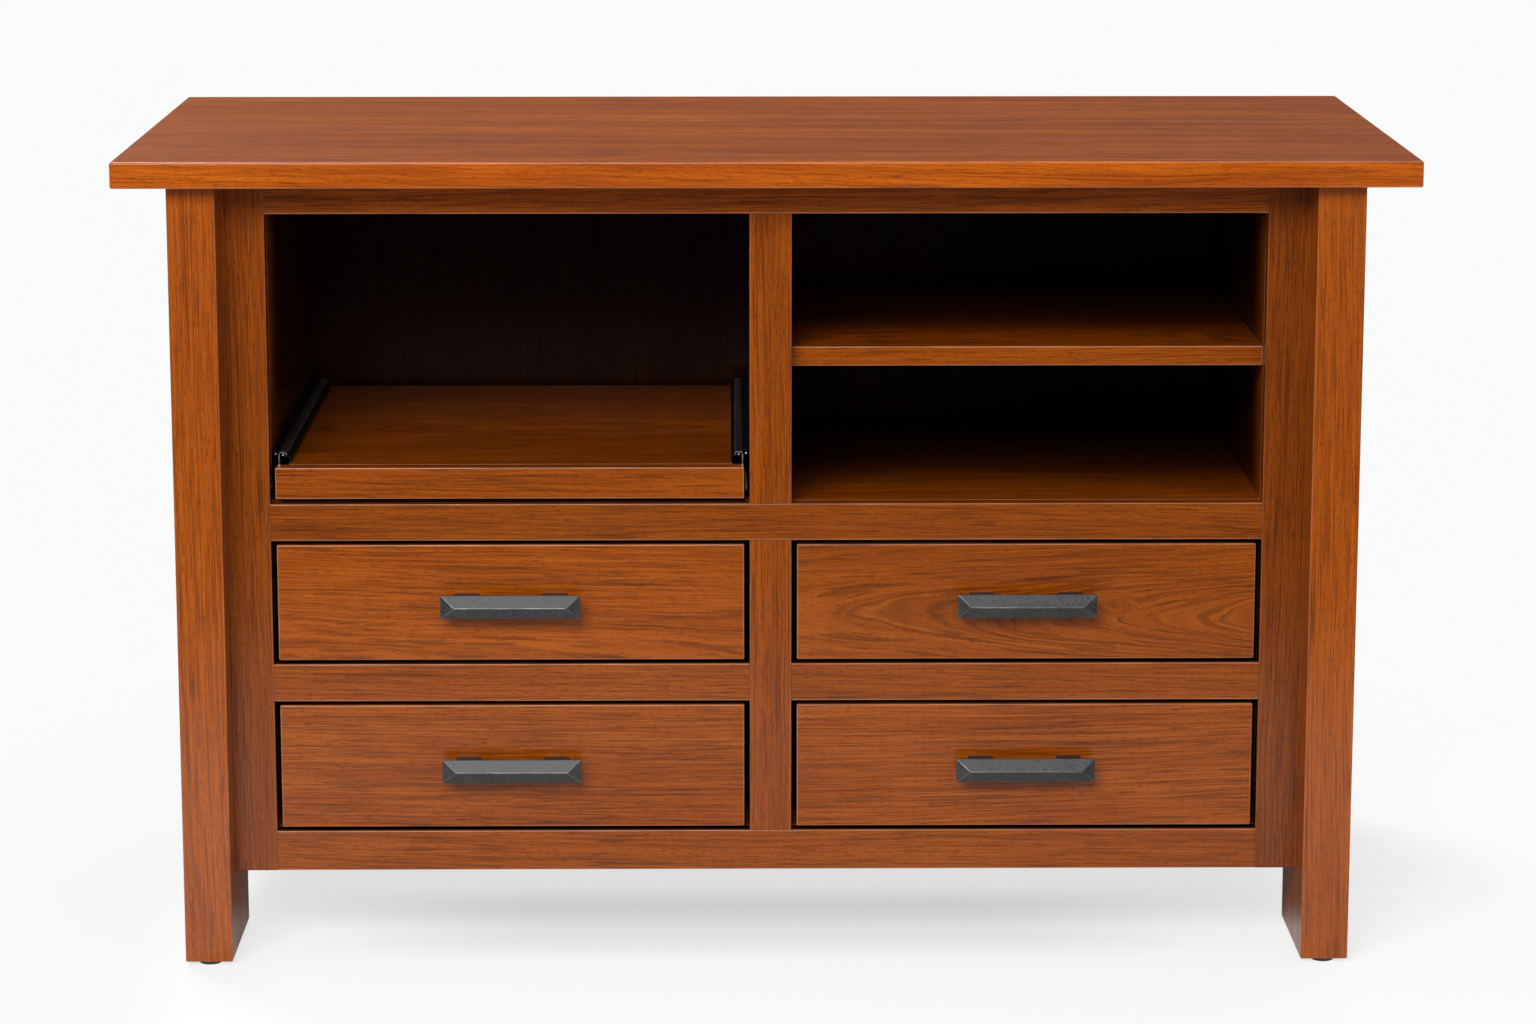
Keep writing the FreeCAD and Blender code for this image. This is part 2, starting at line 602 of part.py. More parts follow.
def add_drawer(label, column, opening_foot, opening_height):
    start, end = openings[column]
    middle_x = "(%s) / 2 + (%s) / 2" % (start, end)
    middle_z = "(%s) + (%s) / 2" % (opening_foot, opening_height)
    box_foot = "%s + box_rise" % opening_foot
    box_height = "(%s - box_rise - box_headroom)" % opening_height
    bottom_slot_foot = box_foot + " + bottom_rise"
    bottom_slot = "bottom_thickness + 2 * bottom_play"
    inner_start = "(%s) + slide_space + box_thickness" % start
    inner_end = "(%s) - slide_space - box_thickness" % end
    inner_width = "(%s) - (%s)" % (inner_end, inner_start)

    front = keep(add_board(
        label + "_front",
        ("(%s) - (%s) - 2 * reveal_side" % (end, start), "front_thickness",
         "%s - 2 * reveal_height" % opening_height),
        ("(%s) + reveal_side" % start, "face_front", "%s + reveal_height" % opening_foot),
        "front_ease",
    ))
    sides = []
    for hand, outer_face, groove_x in (
        ("left", "(%s) + slide_space" % start, inner_start + " - bottom_groove"),
        ("right", inner_end, inner_end + " - overrun"),
    ):
        box(front, "Subtractive", ("box_thickness", "housing_depth + overrun", box_height),
            (outer_face, "front_back - housing_depth", box_foot))
        drawer_side = add_board(
            "%s_side_%s" % (label, hand),
            ("box_thickness", "housing_depth + box_depth", box_height),
            (outer_face, "front_back - housing_depth", box_foot),
        )
        box(drawer_side, "Subtractive",
            ("bottom_groove + overrun", "housing_depth + box_depth", bottom_slot),
            (groove_x, "front_back - housing_depth", bottom_slot_foot))
        sides.append(drawer_side)
    box(front, "Subtractive", (inner_width, "bottom_groove + overrun", bottom_slot),
        (inner_start, "front_back - bottom_groove", bottom_slot_foot))
    for sign in ("-", "+"):
        rod(front, "Subtractive", "pull_screw_diameter + 2 * screw_play", "front_thickness",
            ("%s %s post_spacing / 2" % (middle_x, sign), "face_front", middle_z), "y")
    group(label + "_sides", sides)
    keep(add_board(
        label + "_back",
        (inner_width, "box_thickness", "%s - bottom_rise - bottom_thickness - bottom_play" % box_height),
        (inner_start, "front_back + box_depth - box_thickness",
         bottom_slot_foot + " + bottom_play + bottom_thickness"),
    ))
    keep(add_board(
        label + "_bottom",
        (inner_width + " + 2 * bottom_groove - 2 * bottom_play", "box_depth + bottom_groove - bottom_play",
         "bottom_thickness"),
        (inner_start + " - bottom_groove + bottom_play", "front_back - bottom_groove + bottom_play",
         bottom_slot_foot + " + bottom_play"),
    ))
    add_pull(label + "_pull", middle_x, middle_z)
    slide_middle = "%s + %s / 2" % (box_foot, box_height)
    slide_label = label + "_slide_channels"
    group(slide_label, add_channel_pair(slide_label, column, slide_middle, 1, False))
    return add_channel_pair(label + "_cabinet_channel", column, slide_middle, 0, True)


cabinet_channels = []
for row, opening_foot, opening_height in (
    ("upper", "upper_opening_foot", "upper_opening_height"),
    ("lower", "lower_opening_foot", "lower_opening_height"),
):
    for column in openings:
        cabinet_channels += add_drawer("%s_drawer_%s" % (row, column), column, opening_foot, opening_height)
group("drawer_cabinet_channels", cabinet_channels)


# Check everything, then write one file for each node

doc.recompute()
for item in doc.Objects:
    if {"Invalid", "Error"} & set(item.State):
        raise RuntimeError("%s is %s" % (item.Label, item.State))
for node in nodes:
    if node.Shape.isNull() or not node.Shape.isValid() or not node.Shape.Solids:
        raise RuntimeError("%s has no sound shape" % node.Label)
    if any(solid.Volume <= 0 for solid in node.Shape.Solids):
        raise RuntimeError("%s is inside out" % node.Label)

os.makedirs("parts", exist_ok=True)
for node in nodes:
    node.Shape.exportStep("parts/%s.step" % node.Label)
solids = sum(len(node.Shape.Solids) for node in nodes)
print("%d nodes, %d solids" % (len(nodes), solids))
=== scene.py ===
import json
import math
import random

import bmesh
import bpy
from bpy.props import FloatProperty, FloatVectorProperty, IntProperty, PointerProperty
from mathutils import Matrix, Vector


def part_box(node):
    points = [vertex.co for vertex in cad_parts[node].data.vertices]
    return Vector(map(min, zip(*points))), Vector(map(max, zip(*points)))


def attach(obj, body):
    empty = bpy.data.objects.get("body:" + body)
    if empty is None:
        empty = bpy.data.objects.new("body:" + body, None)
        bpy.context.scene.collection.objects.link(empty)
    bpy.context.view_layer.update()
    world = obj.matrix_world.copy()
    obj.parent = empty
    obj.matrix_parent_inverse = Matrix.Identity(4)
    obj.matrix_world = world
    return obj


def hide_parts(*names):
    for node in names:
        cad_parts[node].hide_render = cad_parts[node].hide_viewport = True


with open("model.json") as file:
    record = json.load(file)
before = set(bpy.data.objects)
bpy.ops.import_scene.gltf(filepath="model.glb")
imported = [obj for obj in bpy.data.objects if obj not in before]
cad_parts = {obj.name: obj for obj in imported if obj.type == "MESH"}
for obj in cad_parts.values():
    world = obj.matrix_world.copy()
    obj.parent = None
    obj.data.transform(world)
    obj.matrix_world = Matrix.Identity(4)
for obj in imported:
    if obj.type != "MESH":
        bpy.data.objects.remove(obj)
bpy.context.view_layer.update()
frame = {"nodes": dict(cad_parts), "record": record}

bl_info = {
    "name": "Storage Cabinet Finish",
    "version": (1, 0, 0),
    "blender": (4, 5, 0),
    "location": "View3D > Sidebar > Cabinet",
    "description": "Gives the packed storage cabinet its woods, metals, pulls, slides and studio",
    "category": "Object",
}

NODES = frame["nodes"]
BODY_OF_NODE = {
    node: body
    for body, members in frame["record"]["behaviour"]["bodies"].items()
    for node in members
}
SLOT_OF_NODE = {
    part["node"]: part["material_slot"] for part in frame["record"]["subparts"]
}
AXES = {"x": Vector((1, 0, 0)), "y": Vector((0, 1, 0)), "z": Vector((0, 0, 1))}


# Kinds of settings, each to be given its default and, where its name doesn't say enough, a description

def setting(maker, **looks):
    """A kind of property for the property groups."""
    return lambda default, description="": maker(default=default, description=description, **looks)


length = setting(FloatProperty, unit="LENGTH", precision=4)
share = setting(FloatProperty, min=0, max=1, subtype="FACTOR")
power = setting(FloatProperty, unit="POWER")
angle = setting(FloatProperty, subtype="ANGLE")
number = setting(FloatProperty)
count = setting(IntProperty, min=2)
colour = setting(FloatVectorProperty, size=3, min=0, max=1, subtype="COLOR")
place = setting(FloatVectorProperty, size=3, subtype="TRANSLATION", unit="LENGTH")


class CherrySettings(bpy.types.PropertyGroup):
    """The lacquered cherry of the outside."""

    pale: colour((0.465, 0.108, 0.005), "Colour of the palest streaks")
    body: colour((0.372, 0.076, 0.002), "Colour of most of the wood")
    deep: colour((0.256, 0.045, 0.001), "Colour of the reddest streaks")
    line: colour((0.065, 0.013, 0.001), "Colour of the thin line of each growth ring")
    # Painted highlight: edge is the pale line along each board's edges.
    edge: colour((0.800, 0.430, 0.260), "Colour of the rubbed edges of a board")
    ring_spacing: length(0.0050)
    wander: length(0.030, "How far the grain drifts across a board")
    ripple: length(0.005, "How far the grain lines waver")
    centre_drift: length(0.030, "How far the heart of a board may lie off its middle")
    single_board: length(10, "Plank width of a board that is one piece")
    # Painted highlight: how wide the pale line along the edges is.
    edge_width: length(0.0018, "How far the rubbed edge reaches")
    joint_width: length(0.0009, "How far the dark line at a joined end reaches")
    grain_depth: length(0.00002)
    line_share: share(0.42, "How strongly the growth rings show")
    band_share: share(0.20, "How strongly the streaks along the rings show")
    fibre_share: share(0.36, "How strongly the fine fibres show")
    vein_share: share(0.50, "How strongly the thin wavering lines show")
    dash_share: share(0.55, "How strongly the short dark dashes show")
    cloud_share: share(0.28, "How strongly the tone drifts along a board")
    pore_share: share(0.60, "How strongly the pores show")
    # Painted highlight: how strongly the pale line along the edges shows.
    edge_share: share(0.60, "How strongly the rubbed edges show")
    joint_share: share(0.60, "How dark the lines at joined ends are")
    roughness: share(0.22, "Roughness of the satin lacquer")
    rough_drift: share(0.05, "How much the roughness follows the streaks")
    specular: share(0.36)
    tone_spread: share(0.03, "How much the boards differ in tone")


class BoxWoodSettings(bpy.types.PropertyGroup):
    """The pale clear-finished wood of the drawer boxes and hidden strips, where it isn't like the cherry."""

    pale: colour((0.760, 0.590, 0.400))
    body: colour((0.680, 0.490, 0.310))
    deep: colour((0.560, 0.370, 0.210))
    line: colour((0.420, 0.250, 0.130))
    # Painted highlight: the pale line along the drawer boxes' edges.
    edge: colour((0.800, 0.650, 0.480))
    line_share: share(0.35)
    vein_share: share(0.15)
    dash_share: share(0.20)
    pore_share: share(0.15)
    roughness: share(0.46)


class PaintedShadeSettings(bpy.types.PropertyGroup):
    """Painted shade inside the bays, and in the gaps round the frame's openings and the drawer fronts."""

    gap_start: length(0.0008, "Depth behind the faces at which the gaps begin to darken")
    gap_depth: length(0.008, "Depth behind the faces at which the gaps are fully dark")
    frame_gap_share: share(0.90, "How dark the sides of the face frame's openings get")
    front_gap_share: share(0.70, "How dark the edges of the drawer fronts get")
    wall_start: length(-0.060, "Depth in the bays at which walls and back begin to darken")
    floor_start: length(0, "Depth in the bays at which floors and shelves begin to darken")
    wall_depth: length(0.10, "Depth in the bays at which walls and back are fully dark")
    floor_depth: length(0.20, "Depth in the bays at which floors and shelves are fully dark")
    wall_share: share(0.93, "How dark the walls and the back get")
    floor_share: share(0.80, "How dark the floors and shelves get")
    # The walls and floors here are darkened by painted shade; these set their specular level.
    wall_gloss: share(0.25, "Specular level of the stained walls, of the outside's")
    floor_gloss: share(0.8, "Specular level of the stained floors, of the outside's")


class MetalSettings(bpy.types.PropertyGroup):
    """The pulls, the slides and the small hardware."""

    pull_colour: colour((0.074, 0.073, 0.075), "Gunmetal of the pulls")
    # Painted highlight: a paler grey along the pulls' softened edges.
    pull_edge_colour: colour((0.190, 0.190, 0.190), "Metal that shows along the worn edges")
    pull_roughness: share(0.50)
    pull_metal_share: share(0.85, "How metallic the pulls are")
    pull_speckle: share(0.45, "How strongly the pulls are speckled")
    # Roughness only: smoother on the edges that get the painted highlight.
    edge_shine: share(0.14, "How much smoother the worn edges are")
    relief: length(0.00002, "Depth of the metals' fine grain")
    slide_colour: colour((0.006, 0.006, 0.007), "Black coat of the slides")
    slide_roughness: share(0.45)
    slide_specular: share(0.15)
    slide_metal_share: share(0.3, "How metallic the slides' coat is")
    zinc_colour: colour((0.620, 0.630, 0.640), "Zinc of the middle members, screws and pins")
    zinc_roughness: share(0.30)
    glide_colour: colour((0.035, 0.030, 0.027), "Plastic of the glides")
    glide_roughness: share(0.50)


class PullSettings(bpy.types.PropertyGroup):
    """The hipped bar pulls. The box of each packed pull gives the rest."""

    length: length(0.150, "Bar, end to end")
    height: length(0.0255, "Bar, top to bottom")
    edge: length(0.0025, "Square edge at the back of the bar")
    slope: length(0.0075, "Sloped part of the bar, front to back")
    hip: length(0.0145, "End of the bar to the end of the ridge")
    ridge: length(0.0007, "Flat along the ridge")
    post_spacing: length(0.096, "Centre of one post to the other")
    post_width: length(0.027)
    post_height: length(0.021)
    post_depth: length(0.020, "One post, bar to drawer front")
    softness: length(0.0005, "Rounding along the edges")
    screw_diameter: length(0.004)
    screw_grip: length(0.012, "Screw inside a post")
    head_diameter: length(0.008)
    head_height: length(0.003)


class SlideSettings(bpy.types.PropertyGroup):
    """The three members and the balls of the pull-out shelf's slides."""

    gauge: length(0.0012, "Sheet steel")
    ball: length(0.0030, "Diameter of a ball")
    ball_count: count(14, "Balls in one row")
    lip: length(0.0024, "Lip that holds the balls in")
    corner: length(0.0018, "Bend of the sheet steel")
    cage: length(0.110, "Length of one row of balls")
    outer_reach_share: share(0.38, "Reach of the cabinet member, of the slide's space")
    web_share: share(0.43, "Wall to the web of the middle member, of the slide's space")
    middle_reach_share: share(0.78, "Wall to the lip of the middle member, of the slide's space")


class StageSettings(bpy.types.PropertyGroup):
    """Camera, lamps, floor and backdrop."""

    camera_place: place((-0.0390, -4.5487, 1.4062))
    camera_pitch: angle(math.radians(-10.314), "Below the horizon if negative")
    camera_turn: angle(math.radians(-0.536), "To the right if negative")
    camera_lens: number(95.72, "Focal length in millimetres")
    camera_shift: number(-0.078125, "Vertical shift, in picture widths")
    key_power: power(232, "Large lamp at the front left")
    fill_power: power(22, "Lamp at the front right")
    back_power: power(112, "Left lamp behind")
    back_right_share: share(0.20, "Power of the right back lamp, of the left one")
    key_place: place((-1.3, -4.2, 3.2))
    fill_place: place((2.6, -3.0, 1.6))
    back_place: place((1.8, 2.4, 3.4), "Where the back lamps stand, to the left and the right")
    aim_height: length(0.5, "Height that the lamps aim at")
    room_light: share(0.22, "Light that comes from all round")
    backdrop: colour((0.950, 0.962, 0.957), "Colour that the camera sees behind the object")
    backdrop_gloss: share(0.09, "How much of the backdrop glossy finishes mirror")
    floor_albedo: share(0.60, "How much light the floor sends back")
    floor_gloss: share(1.0, "Floor tone that glossy finishes mirror near the object")
    floor_gloss_reach: length(1.10, "Distance at which that tone begins to fade")
    floor_glow: share(0.75, "Share of the floor's white that no shadow reaches")
    floor_shade: share(0.30, "How much of the lamps' light the seen floor shows")
    floor_left_shade: share(0.19, "The same at the left, where the lamps are stronger")
    floor_left: length(-0.72, "Where the floor shows only that much of the lamps' light")
    floor_middle: length(-0.50, "Where it shows as much as elsewhere")
    contact_shade: share(0.15, "Depth of the soft shade under the front of the case")
    contact_place: place((0, -0.145, 0), "Middle of that shade")
    contact_reach: place((0.60, 0.15, 1), "Half size of that shade")
    contact_core_share: share(0.35, "Even part of that shade, of its half size")
    shade_reach: length(0.65, "Distance at which the floor begins to lose its shadow")
    floor_radius: length(4.0)
    floor_fade_share: share(0.4, "Where the floor begins to melt away, of its radius")
    view_depth: length(60, "How far the camera sees")


# Node trees

ORIGIN = (0, 0, 0)
ONES = (1, 1, 1)
BLACK = (0, 0, 0, 1)
HALF = 0.5
NODE_STEP = Vector((190, 0))
NOISE_LOW = 0.30
NOISE_HIGH = 0.70


class Bench:
    """Short ways to add and join the nodes of one tree."""

    def __init__(self, tree):
        self.tree = tree
        self.tree.nodes.clear()
        self.next_place = Vector((0, 0))

    def add(self, kind, inputs=None, **settings):
        """A new node. An input's value is a socket to join to it, or a plain value."""
        node = self.tree.nodes.new(kind)
        node.location = self.next_place
        self.next_place = self.next_place + NODE_STEP
        for name, value in settings.items():
            setattr(node, name, value)
        for name, value in (inputs or {}).items():
            if isinstance(value, bpy.types.NodeSocket):
                self.tree.links.new(value, node.inputs[name])
            else:
                node.inputs[name].default_value = value
        return node

    def group(self, name, inputs):
        """A node of one of the shared groups."""
        return self.add("ShaderNodeGroup", inputs, node_tree=shared_group(name))

    def math(self, operation, first, *others):
        """Operation on numbers, one after the other."""
        for other in others or (0,):
            first = self.add("ShaderNodeMath", {0: first, 1: other}, operation=operation).outputs[0]
        return first

    def plus(self, *numbers):
        """Numbers added up."""
        return self.math("ADD", *numbers)

    def minus(self, first, second):
        """A number less another."""
        return self.math("SUBTRACT", first, second)

    def times(self, *numbers):
        """Numbers multiplied."""
        return self.math("MULTIPLY", *numbers)

    def vector(self, operation, first, second=ORIGIN):
        """Operation on one or two vectors."""
        return self.add("ShaderNodeVectorMath", {0: first, 1: second}, operation=operation).outputs[0]

    def scaled(self, vector, factor):
        """A vector times a number."""
        return self.add("ShaderNodeVectorMath", {0: vector, "Scale": factor}, operation="SCALE").outputs[0]

    def reach(self, vector):
        """The length of a vector."""
        return self.add("ShaderNodeVectorMath", {0: vector}, operation="LENGTH").outputs["Value"]

    def parts(self, vector):
        """The three numbers of a vector."""
        return self.add("ShaderNodeSeparateXYZ", {0: vector}).outputs

    def joined(self, *numbers):
        """The vector of three numbers."""
        return self.add("ShaderNodeCombineXYZ", dict(enumerate(numbers))).outputs[0]

    def mixed(self, factor, first, second):
        """Two colours mixed. In this node the sockets 6 and 7 take colours, and 2 gives one."""
        inputs = {0: factor, 6: first, 7: second}
        return self.add("ShaderNodeMix", inputs, data_type="RGBA", clamp_factor=True).outputs[2]

    def spread(self, value, low, high, new_low=0, new_high=1):
        """A number moved from one range to another, with soft ends."""
        ranges = {"Value": value, "From Min": low, "From Max": high, "To Min": new_low, "To Max": new_high}
        return self.add("ShaderNodeMapRange", ranges, interpolation_type="SMOOTHSTEP").outputs[0]

    def eased(self, noise, low, high=1):
        """Noise spread over a range."""
        return self.spread(noise, NOISE_LOW, NOISE_HIGH, low, high)

    def chance(self, number):
        """A random number for each number."""
        return self.add("ShaderNodeTexWhiteNoise", {"W": number}, noise_dimensions="1D").outputs["Value"]

    def noise(self, place, stretch, detail=2, output="Fac"):
        """Noise at a place that is first stretched, in patterns per metre along each axis."""
        stretched = self.vector("MULTIPLY", place, stretch)
        node = self.add("ShaderNodeTexNoise", {"Vector": stretched, "Scale": 1, "Detail": detail})
        return node.outputs[output]


def socket_kind(value):
    """The kind of socket that holds a value: a number, a place or a colour."""
    if isinstance(value, (int, float)):
        return "NodeSocketFloat"
    return "NodeSocketVector" if len(value) == len(ORIGIN) else "NodeSocketColor"


def open_group(name, inputs, outputs):
    """A new shader node group, its bench and its inputs, from the values that its sockets begin with."""
    tree = bpy.data.node_groups.new(name, "ShaderNodeTree")
    for side, values in (("INPUT", inputs), ("OUTPUT", outputs)):
        for label, value in values.items():
            socket = tree.interface.new_socket(label, in_out=side, socket_type=socket_kind(value))
            socket.default_value = value
    bench = Bench(tree)
    return bench, bench.add("NodeGroupInput").outputs


def close_group(bench, outputs):
    """Joins the named values to the group's outputs. Returns the group."""
    bench.add("NodeGroupOutput", outputs)
    return bench.tree


# Grain patterns per metre, along the board, across it and through it

WANDER_STRETCH = (1.5, 6.0, 6.0)
RIPPLE_STRETCH = (11.0, 42.0, 42.0)
CLOUD_STRETCH = (3.0, 13.0, 13.0)
PATCH_STRETCH = (5.0, 30.0, 30.0)
PORE_STRETCH = (110.0, 1700.0, 1700.0)

# The same along the board and across the growth rings

BAND_STRETCH = (1.6, 75.0, 1.0)
FIBRE_STRETCH = (7.0, 620.0, 1.0)
VEIN_STRETCH = (3.0, 200.0, 1.0)
DASH_STRETCH = (15.0, 950.0, 1.0)

# Least strength of the lines in faint patches and rings, how uneven and how sharp the rings are, and where
# the other marks begin and are full, in the values of their noise

PATCH_FAINT = 0.4
RING_FAINT = 0.4
RING_STRETCH = 90
RING_DRIFT = 1.6
LINE_SHARPNESS = 5
VEIN_WIDTH = 0.045
DASH_START = 0.56
DASH_FULL = 0.63
PORE_START = 0.58
PORE_FULL = 0.68
KNOT_HEART = 0.4
NO_KNOT = (9.0, 9.0, 9.0)

# The patterns of a board, each with a strength of its own, and the board's tones

MARKS = ("Line", "Band", "Fibre", "Vein", "Dash", "Cloud", "Pore")
TONES = ("Pale", "Body", "Deep", "Line")


def make_board_group():
    """Growth rings, fibres, pores and drifting tone of one sawn board whose grain runs along X."""
    bench, given = open_group(
        "Sawn board",
        {
            "Place": ORIGIN, "Seed": 0, "Plank Width": 1, "Plank Spread": 0, "Ring Spacing": 1, "Wander": 0,
            "Ripple": 0, "Pith Depth": 1, "Pith Tilt": 0, "Pith Side": 0, "Knot": NO_KNOT, "Knot Reach": ONES,
            "Knot Lift": 0, **{mark + " Strength": 1 for mark in MARKS}, **{tone: BLACK for tone in TONES},
        },
        {"Colour": BLACK, "Streaks": 0, "Height": 0},
    )
    place = given["Place"]
    width = given["Plank Width"]
    plank = bench.math("FLOOR", bench.plus(bench.math("DIVIDE", bench.parts(place)[1], width), HALF))
    plank_tone = bench.chance(bench.plus(plank, given["Seed"]))
    seed = bench.plus(given["Seed"], bench.times(plank, math.e))
    spot = bench.vector("ADD", place, bench.joined(seed, seed, seed))
    drifted = place
    for stretch, amount in ((WANDER_STRETCH, "Wander"), (RIPPLE_STRETCH, "Ripple")):
        drift = bench.vector("SUBTRACT", bench.noise(spot, stretch, output="Color"), (HALF, HALF, HALF))
        drifted = bench.vector("ADD", drifted, bench.scaled(drift, given[amount]))
    along, across, through = bench.parts(drifted)
    from_knot = bench.vector("DIVIDE", bench.vector("SUBTRACT", place, given["Knot"]), given["Knot Reach"])
    knot_gap = bench.reach(from_knot)
    knot_lift = bench.times(bench.spread(knot_gap, 1, 0), given["Knot Lift"])
    side = bench.plus(bench.minus(across, bench.times(plank, width)), given["Pith Side"])
    depth = bench.plus(through, given["Pith Depth"], bench.times(along, given["Pith Tilt"]), knot_lift)
    radius = bench.math("SQRT", bench.plus(bench.times(side, side), bench.times(depth, depth)))
    across_rings = {"W": bench.plus(bench.times(radius, RING_STRETCH), seed), "Scale": 1, "Detail": 1}
    uneven = bench.add("ShaderNodeTexNoise", across_rings, noise_dimensions="1D").outputs["Fac"]
    ring = bench.plus(bench.math("DIVIDE", radius, given["Ring Spacing"]), bench.times(uneven, RING_DRIFT))
    line = bench.math("POWER", bench.math("FRACT", ring), LINE_SHARPNESS)
    ring_tone = bench.spread(bench.chance(bench.math("FLOOR", ring)), 0, 1, RING_FAINT, 1)
    patch = bench.eased(bench.noise(spot, PATCH_STRETCH), PATCH_FAINT)
    contour = bench.joined(along, radius, seed)
    bands = bench.noise(contour, BAND_STRETCH)
    fibres = bench.noise(contour, FIBRE_STRETCH)
    vein_gap = bench.math("ABSOLUTE", bench.minus(bench.noise(contour, VEIN_STRETCH), HALF))
    drifts = {"Band": bands, "Fibre": fibres, "Cloud": bench.noise(spot, CLOUD_STRETCH)}
    marks = {
        "Line": bench.times(line, ring_tone, patch),
        "Vein": bench.times(bench.spread(vein_gap, VEIN_WIDTH, 0), patch),
        "Dash": bench.spread(bench.noise(contour, DASH_STRETCH, detail=1), DASH_START, DASH_FULL),
        "Pore": bench.spread(bench.noise(spot, PORE_STRETCH, detail=1), PORE_START, PORE_FULL),
    }

    lift = bench.times(bench.minus(plank_tone, HALF), given["Plank Spread"])
    for kind, pattern in drifts.items():
        lift = bench.plus(lift, bench.times(bench.eased(pattern, -1), given[kind + " Strength"]))
    shade = bench.mixed(bench.times(lift, -1), given["Body"], given["Deep"])
    shade = bench.mixed(lift, shade, given["Pale"])
    for kind, mark in marks.items():
        shade = bench.mixed(bench.times(mark, given[kind + " Strength"]), shade, given["Line"])
    heart = bench.times(bench.spread(knot_gap, KNOT_HEART, 0), given["Line Strength"])
    shade = bench.mixed(heart, shade, given["Line"])
    height = bench.minus(fibres, bench.plus(marks["Line"], marks["Pore"]))
    return close_group(bench, {"Colour": shade, "Streaks": bands, "Height": height})


# Patchiness of the painted highlight along a board's edges.
HIGHLIGHT_STRETCH = (14.0, 14.0, 14.0)
HIGHLIGHT_FAINT = 0.5


def make_edge_group():
    """Painted highlight along the edges of a board, and the dark lines at its joined ends, found from the
    half sizes of its box.
    """
    bench, given = open_group(
        "Rubbed edges",
        {"Place": ORIGIN, "Half Size": ONES, "Width": 1, "Joint Width": 1, "Ends": 1, "Strength": 1,
         "Joint Strength": 0},
        {"Edge": 0, "Joint": 0},
    )
    gaps = bench.parts(bench.vector("SUBTRACT", given["Half Size"], bench.vector("ABSOLUTE", given["Place"])))
    ends, sides, faces = [bench.spread(gap, given["Width"], 0) for gap in gaps]
    ends = bench.times(ends, given["Ends"])
    pairs = [bench.times(*pair) for pair in ((ends, sides), (sides, faces), (ends, faces))]
    # The painted edge highlight, made patchy by noise.
    highlighted = bench.eased(bench.noise(given["Place"], HIGHLIGHT_STRETCH), HIGHLIGHT_FAINT)
    edge = bench.times(bench.math("MAXIMUM", *pairs), highlighted, given["Strength"])
    joint = bench.times(bench.spread(gaps[0], given["Joint Width"], 0), given["Joint Strength"])
    return close_group(bench, {"Edge": edge, "Joint": joint})


NO_CEILING = 9.0


def make_inside_group():
    """Painted shade inside the case, darkening from the front of the bays to their back, below a ceiling."""
    bench, given = open_group(
        "Inside stain",
        {"Place": ORIGIN, "Colour": BLACK, "Front": 0, "Back": 1, "Outer Face": 1, "Ceiling": NO_CEILING,
         "Strength": 1},
        {"Colour": BLACK},
    )
    parts = bench.parts(given["Place"])
    inward = bench.spread(parts[1], given["Front"], given["Back"])
    inside = bench.math("LESS_THAN", parts[1], given["Outer Face"])
    below = bench.math("LESS_THAN", parts[2], given["Ceiling"])
    # Painted shade: darker from the front to the back, inside the outer face and below the ceiling.
    stain = bench.times(inward, inside, below, given["Strength"])
    return close_group(bench, {"Colour": bench.mixed(stain, given["Colour"], BLACK)})


MOTTLE_STRETCH = (45.0, 45.0, 45.0)
MOTTLE_SHARE = 0.25
EDGE_HIGHLIGHT_FAINT = 0.35
ROUGH_FOLLOW_SHARE = 0.3


def make_speckle_group():
    """Fine mottling of a coated or plated metal, and a painted highlight on its marked edges."""
    bench, given = open_group(
        "Metal speckle",
        {"Place": ORIGIN, "Grain": ONES, "Colour": BLACK, "Edge Colour": BLACK, "Edge": 0, "Edge Shine": 0,
         "Strength": 0, "Roughness": 0},
        {"Colour": BLACK, "Roughness": 0, "Height": 0},
    )
    fine = bench.noise(given["Place"], given["Grain"], detail=3)
    broad = bench.noise(given["Place"], MOTTLE_STRETCH, detail=3)
    mottle = bench.eased(broad, -MOTTLE_SHARE, MOTTLE_SHARE)
    lift = bench.times(bench.plus(bench.eased(fine, -1), mottle), given["Strength"])
    toned = bench.scaled(given["Colour"], bench.plus(lift, 1))
    # Painted highlight on the marked edges, made patchy by the broad noise.
    brightened = bench.times(given["Edge"], bench.eased(broad, EDGE_HIGHLIGHT_FAINT))
    shade = bench.mixed(brightened, toned, given["Edge Colour"])
    rough = bench.plus(given["Roughness"], bench.times(lift, ROUGH_FOLLOW_SHARE))
    rough = bench.minus(rough, bench.times(brightened, given["Edge Shine"]))
    return close_group(bench, {"Colour": shade, "Roughness": rough, "Height": fine})


def shared_group(name):
    """One of the node groups, made when it is first asked for."""
    makers = {
        "Sawn board": make_board_group,
        "Rubbed edges": make_edge_group,
        "Inside stain": make_inside_group,
        "Metal speckle": make_speckle_group,
    }
    return bpy.data.node_groups.get(name) or makers[name]()


def opaque(value):
    """A property's colour with full opacity."""
    return (*value, 1)


def new_material(name):
    """An empty material, its bench and the object coordinates in it."""
    material = bpy.data.materials.new(name)
    material.use_nodes = True
    bench = Bench(material.node_tree)
    return material, bench, bench.add("ShaderNodeTexCoord").outputs["Object"]


def finish_surface(bench, tint, height, bump_depth, shader_inputs):
    """The Principled shader of a material, with its bump."""
    bump = bench.add("ShaderNodeBump", {"Height": height, "Strength": 1, "Distance": bump_depth})
    inputs = {"Base Color": tint, "Normal": bump.outputs[0], **shader_inputs}
    shader = bench.add("ShaderNodeBsdfPrincipled", inputs)
    bench.add("ShaderNodeOutputMaterial", {"Surface": shader.outputs[0]})


